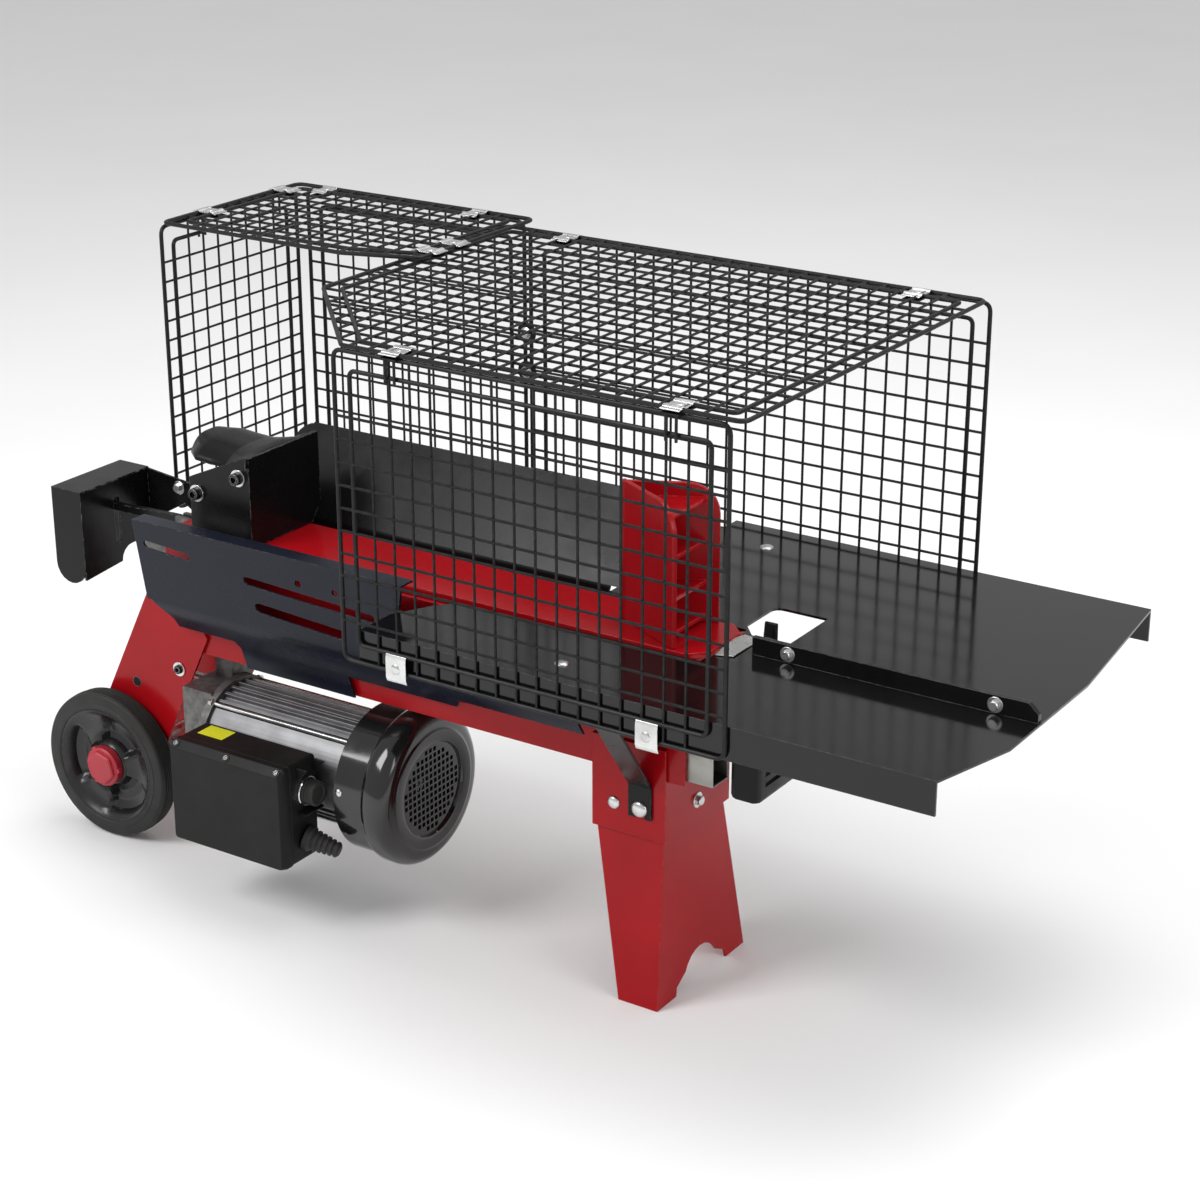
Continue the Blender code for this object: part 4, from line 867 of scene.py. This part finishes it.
def fan_cover():
    """Glossy stepped cowl with a recessed grille of square holes."""
    low, high = spot("fan_cover")
    y, z = (low.y + high.y) / 2, (low.z + high.z) / 2
    radius = (high.z - low.z) / 2
    depth = high.x - low.x
    wall = 0.0022
    skirt = radius - 0.0050
    lip = 0.0545            # radius of the opening over the grille
    bend = 0.0160
    form = bmesh.new()
    outside = [(lip, depth - 0.0040), (lip + 0.0016, depth - 0.0010), (lip + 0.0045, depth),
               (radius - 0.0220, depth), (radius - 0.0200, depth - 0.0012), (radius - 0.0170, depth - 0.0016)]
    outside += [(radius - bend + bend * math.sin(a), depth - 0.0016 - bend + bend * math.cos(a))
                for a in (0.3, 0.6, 0.9, 1.2, 1.5)]
    outside += [(radius, depth * 0.60), (radius - 0.0012, depth * 0.55), (skirt, depth * 0.50), (skirt, 0.0)]
    inner = radius - wall
    inside = [(skirt - wall, 0.0), (skirt - wall, depth * 0.50), (inner - 0.0035, depth * 0.56),
              (inner, depth * 0.62), (inner, depth - 0.0180), (radius - 0.0140, depth - 0.0062),
              (lip + 0.0040, depth - wall), (lip, depth - 0.0062)]
    placing = facing((low.x, y, z), (1, 0, 0))
    turn(form, placing, outside + inside, 96, closed=True)
    pitch, half_hole = 0.0078, 0.0026
    side_count = 8
    holes = []
    for row in range(-side_count, side_count + 1):
        for column in range(-side_count, side_count + 1):
            cy, cz = column * pitch, row * pitch
            if math.hypot(abs(cy) + half_hole, abs(cz) + half_hole) < lip - 0.0025:
                holes.append(rectangle(cy - half_hole, cz - half_hole, cy + half_hole, cz + half_hole))
    prism(form, "XY", polygon(72, lip + 0.0006), depth - 0.0060, depth - 0.0042, holes, placing)
    piece("fan_cowl", form, "frame", GLOSS, ["fan_cover"], smooth=30)

    screws = bmesh.new()
    for a in (172.0, 82.0, 352.0, 262.0):
        turned = math.radians(a)
        out = (0.0, math.cos(turned), math.sin(turned))
        at = (low.x + 0.0070, y + skirt * out[1], z + skirt * out[2])
        dome_bolt(screws, at, out, 0.0048, 0.0030)
    piece("cowl_screws", screws, "frame", ZINC)


# ---- switch box ----
def box_loft(form, low, high, rings):
    """A box from rounded rectangles: insets left, below, right and above, corner radius, and y."""
    made = []
    for left, below, right, above, radius, y in rings:
        flat = rectangle(low.x + left, low.z + below, high.x - right, high.z - above)
        made.append(rounded([(u, y, v) for u, v in flat], radius, loop=True))
    loft(form, Matrix.Identity(4), made)


def switch_box():
    low, high = spot("switch_box")
    lid_low, lid_high = spot("switch_lid")
    seam = lid_high.y
    form = bmesh.new()
    box_loft(form, low, high, [
        (0.004, 0.004, 0.003, 0.003, 0.004, high.y),
        (0.001, 0.001, 0.001, 0.001, 0.005, high.y - 0.004),
        (0.001, 0.001, 0.001, 0.001, 0.005, seam + 0.0012),
    ])
    piece("switch_case", form, "frame", MATTE, ["switch_box"], bevel=0.0008)

    form = bmesh.new()
    slope = 0.0085          # drop of the lid's chamfered upper edge
    box_loft(form, lid_low, lid_high, [
        (0.0, 0.0, 0.0, 0.0, 0.006, seam),
        (0.0, 0.0, 0.0, 0.0, 0.006, lid_low.y + 0.0080),
        (0.0015, 0.0015, 0.0035, slope, 0.005, lid_low.y + 0.0006),
        (0.0025, 0.0025, 0.0045, slope + 0.001, 0.004, lid_low.y),
    ])
    piece("switch_cover", form, "frame", MATTE, ["switch_lid"], bevel=0.0006)

    screws = bmesh.new()
    wells = bmesh.new()
    out = Vector((0.0, -slope, 0.0074)).normalized()
    for x in (lid_low.x + 0.008, (lid_low.x + lid_high.x) / 2, lid_high.x - 0.009):
        at = Vector((x, lid_low.y + 0.0043, lid_high.z - slope * 0.5 + 0.0002))
        washer_ring(wells, at, out, 0.0030, 0.0052, 0.0007)
        pan_screw(screws, at, out, 0.0028, 0.0012)
    piece("switch_screw_wells", wells, "frame", MATTE)
    piece("switch_screws", screws, "frame", DARK_BOLT)

    label = bmesh.new()
    prism(label, "XY", rectangle(low.x + 0.015, low.y + 0.016, low.x + 0.051, low.y + 0.040),
          high.z - 0.0009, high.z - 0.0004)
    piece("warning_patch", label, "frame", LABEL)
    switch_fittings(high.x)


def switch_fittings(face):
    """Chrome collar, ribbed push button, moulded gussets and the ribbed inlet on the box's end."""
    button_low, button_high = spot("push_button")
    y, z = (button_low.y + button_high.y) / 2, (button_low.z + button_high.z) / 2
    radius = (button_high.z - button_low.z) / 2
    placing = facing((face - 0.0010, y, z), (1, 0, 0))
    collar = bmesh.new()
    turn(collar, placing, [(radius + 0.0003, 0.0040), (radius + 0.0016, 0.0044), (radius + 0.0024, 0.0036),
                           (radius + 0.0024, 0.0), (radius + 0.0003, 0.0)], 48, closed=True)
    piece("button_collar", collar, "frame", CHROME, smooth=30)

    knob = bmesh.new()
    tall = button_high.x - face + 0.0010
    body = [(0.0, tall - 0.0016), (radius * 0.62, tall - 0.0016), (radius * 0.68, tall - 0.0004),
            (radius - 0.0022, tall), (radius - 0.0006, tall - 0.0014)]
    for i in range(3):
        top = tall - 0.0040 - 0.0036 * i
        body += [(radius - 0.0004, top), (radius - 0.0013, top - 0.0010), (radius - 0.0004, top - 0.0020)]
    body += [(radius - 0.0004, -0.0040), (0.0, -0.0040)]
    turn(knob, placing, body, 48)
    piece("button_boot", knob, "button", RUBBER, ["push_button"], smooth=30)

    moulding = bmesh.new()
    foot = face - 0.0012
    gusset = [(foot, z + 0.0330), (foot + 0.0160, z + 0.0330), (foot + 0.0045, z + 0.0200),
              (foot, z + 0.0180)]
    for shift in (-0.0160, 0.0150):
        prism(moulding, "XZ", gusset, y + shift, y + shift + 0.0024)
    shelf = [(foot, z - 0.0215), (foot + 0.0110, z - 0.0225), (foot + 0.0110, z - 0.0245), (foot, z - 0.0260)]
    prism(moulding, "XZ", shelf, y - 0.0160, y + 0.0180)
    piece("switch_ribs", moulding, "frame", MATTE, bevel=0.0005)

    inlet_low, inlet_high = spot("cable_inlet")
    start = Vector((face - 0.0010, (inlet_low.y + inlet_high.y) / 2, (inlet_low.z + inlet_high.z) / 2))
    out = Vector((1.0, 0.28, -0.30)).normalized()
    sleeve = bmesh.new()
    ribbed = [(0.0, 0.0420), (0.0062, 0.0420), (0.0082, 0.0405)]
    for i in range(5):
        top = 0.0395 - 0.0062 * i
        wide = 0.0092 + 0.0008 * i
        neck = wide - 0.0014
        ribbed += [(wide, top), (wide, top - 0.0026), (neck, top - 0.0034), (neck, top - 0.0050)]
    ribbed += [(0.0140, 0.0080), (0.0150, 0.0065), (0.0150, 0.0), (0.0, 0.0)]
    turn(sleeve, facing(start, out), ribbed, 36)
    piece("cable_sleeve", sleeve, "frame", RUBBER, ["cable_inlet"], smooth=30)


# ---- hardware ----
TABLE_TOP = 0.3993


def hardware():
    """Bolts that the CAD leaves out, each on the face it holds."""
    zinc, black = bmesh.new(), bmesh.new()
    for x, y in ((0.0150, -0.1330), (0.0210, 0.2780)):
        dome_bolt(zinc, (x, y, TABLE_TOP), (0, 0, 1), 0.0080, 0.0030)
    upright_z = 0.4085
    for x in (0.2070, 0.4390):
        hex_bolt(zinc, (x, -0.0050, upright_z), (0, -1, 0), 0.0100, 0.0050, 0.0085)
        hex_bolt(zinc, (x, 0.0015, upright_z), (0, 1, 0), 0.0100, 0.0070, 0.0085)
    socket_low, socket_high = spot("leg_socket")
    for face, side in ((socket_low.y, -1), (socket_high.y, 1)):
        dome_bolt(zinc, (0.0360, face, 0.2210), (0, side, 0), 0.0075, 0.0040)
        dome_bolt(zinc, (0.0700, face + side * 0.0030, 0.2230), (0, side, 0), 0.0095, 0.0050)
    hex_bolt(zinc, (socket_high.x, -0.0010, 0.2140), (1, 0, 0), 0.0100, 0.0050, 0.0090)
    plug = [(0.0, 0.0), (0.0064, 0.0006), (0.0068, 0.0), (0.0068, -0.0024), (0.0, -0.0024)]
    for face, side in ((spot("wheel_leg_near")[0].y, -1), (spot("wheel_leg_far")[1].y, 1)):
        out = (0, side, 0)
        washer_ring(zinc, (-0.5750, face, 0.2325), out, 0.0052, 0.0088, 0.0016)
        cap_bolt(black, (-0.5750, face, 0.2325), out, 0.0054, 0.0050)
        turn(black, facing((-0.6450, face - side * 0.0004, 0.2000), out), plug, 24)
    piece("frame_bolts", zinc, "frame", ZINC, bevel=0.0003)
    piece("frame_dark_bolts", black, "frame", DARK_BOLT, smooth=40)


# ---- floor, light and camera ----
def studio():
    """Pale floor, even white surroundings and three large soft lamps."""
    form = bmesh.new()
    bmesh.ops.create_grid(form, x_segments=4, y_segments=4, size=12.0)
    mesh = bpy.data.meshes.new("floor")
    form.to_mesh(mesh)
    form.free()
    backdrop = Surface("floor_paper")
    cloud = backdrop.spread(backdrop.noise(2.0), 0.0, 1.0)
    backdrop.color(backdrop.mix(cloud, (0.90, 0.90, 0.90), (0.92, 0.92, 0.92))).roughness(0.9)
    mesh.materials.append(backdrop.made)
    floor = bpy.data.objects.new("floor", mesh)
    bpy.context.scene.collection.objects.link(floor)

    world = bpy.data.worlds.new("studio")
    world.use_nodes = True
    sky = world.node_tree.nodes["Background"]
    sky.inputs["Color"].default_value = (1.0, 1.0, 1.0, 1.0)
    sky.inputs["Strength"].default_value = 0.58
    bpy.context.scene.world = world
    bpy.context.scene.view_settings.view_transform = "Standard"

    aim = Vector((0.0, 0.0, 0.3))
    lamps = (
        # name, where, size, watts
        ("key", (-1.6, -2.6, 3.0), 1.6, 78.0),
        ("top", (0.4, 0.8, 3.4), 2.4, 62.0),
        ("side", (3.2, -0.6, 1.8), 1.6, 32.0),
    )
    for name, where, wide, watts in lamps:
        data = bpy.data.lights.new(name, "AREA")
        data.shape = "SQUARE"
        data.size = wide
        data.energy = watts
        lamp = bpy.data.objects.new(name, data)
        lamp.location = where
        lamp.rotation_euler = (aim - Vector(where)).to_track_quat("-Z", "Y").to_euler()
        bpy.context.scene.collection.objects.link(lamp)


def camera():
    """Stands where the photo's camera stood."""
    elevation, azimuth = 21.52, 33.17
    data = bpy.data.cameras.new("camera")
    data.lens = 78.07
    data.sensor_width = 36.0
    made = bpy.data.objects.new("camera", data)
    made.location = ORIGIN + Vector((1.3889, -2.1638, 1.4359))
    made.rotation_euler = (math.radians(90.0 - elevation), 0.0, math.radians(azimuth))
    bpy.context.scene.collection.objects.link(made)
    bpy.context.scene.camera = made


# ---- operator's end and small brackets ----
def guard_flap():
    """Rubber lip beside the lever's slot in the guard, and the guard's own bolt."""
    high = spot("lever_guard")[1]
    form = bmesh.new()
    back = -0.7263          # the guard's outer face
    foot, head = 0.3310, 0.4050
    lip = [(back, 0.0052), (back - 0.0016, 0.0064), (back - 0.0016, 0.0118), (back - 0.0200, 0.0130),
           (back - 0.0200, 0.0142), (back - 0.0004, 0.0132), (back, 0.0130)]
    prism(form, "XY", lip, foot, head)
    piece("lever_curtain", form, "frame", RUBBER)
    zinc = bmesh.new()
    hex_bolt(zinc, (-0.6720, high.y - 0.0035, 0.4050), (0, -1, 0), 0.0100, 0.0050, 0.0085)
    piece("guard_bolt", zinc, "frame", ZINC, bevel=0.0003)


def table_hook():
    """Small folded hook at the uprights' inner end, and the plate that ties the beam's end to the tables."""
    skin, top = TABLE_TOP + 0.0003, 0.4265
    form = bmesh.new()
    prism(form, "YZ", [(0.0018, skin), (0.0250, skin), (0.0250, top), (0.0215, top), (0.0190, skin + 0.0100),
                       (0.0018, skin + 0.0130)], 0.1640, 0.1790)
    piece("table_hook", form, "frame", BLACK_PAINT, bevel=0.0012)
    form = bmesh.new()
    tie = [(0.1360, -0.0300), (0.1540, -0.0240), (0.1540, 0.0240), (0.1500, 0.0310), (0.1340, 0.0340),
           (0.1280, 0.0160)]
    prism(form, "XY", tie, skin, skin + 0.0016)
    piece("tie_plate", form, "frame", ZINC, bevel=0.0005)


# ---- finishes on the CAD's own pieces ----
dress(["main_beam", "track", "beam_end_plate", "wedge", "leg_socket", "front_leg", "wheel_leg_near",
       "wheel_leg_far"], RED_PAINT)
dress(["near_table", "far_table"], TABLE_PAINT)
dress(["far_side_plate", "table_strut_near", "table_strut_far", "lever_guard", "control_lever"], BLACK_PAINT)
dress(["pusher"], BLACK_PAINT, 0.0024)
dress(["near_side_plate"], SLATE_PAINT)
dress(["wheel_axle", "pressure_pipe"], ZINC, 0.0005)
dress(["handle_tube"], TUBE_STEEL, 0.0010)
dress(["motor_end_shield", "pump_housing", "pump_cover", "valve_block"], CAST, 0.0010)
dress(["motor_rotor", "motor_stator", "pump_gear_drive", "pump_gear_driven", "cylinder_tube",
       "cylinder_gland", "piston", "ram_crosshead", "draw_bar_near", "draw_bar_far", "valve_spool"],
      STEEL, 0.0004)
dress(["piston_rod"], CHROME, 0.0003)
dress(["lift_handle", "oil_filler_cap", "cooling_fan", "lever_knob", "push_button", "cable_inlet"], MATTE)

cage()
cage_clips()
lower_clips()
wheels()
pusher_tongue()
pusher_bolts()
motor_housing()
fan_cover()
switch_box()
hardware()
guard_flap()
table_hook()
studio()
camera()
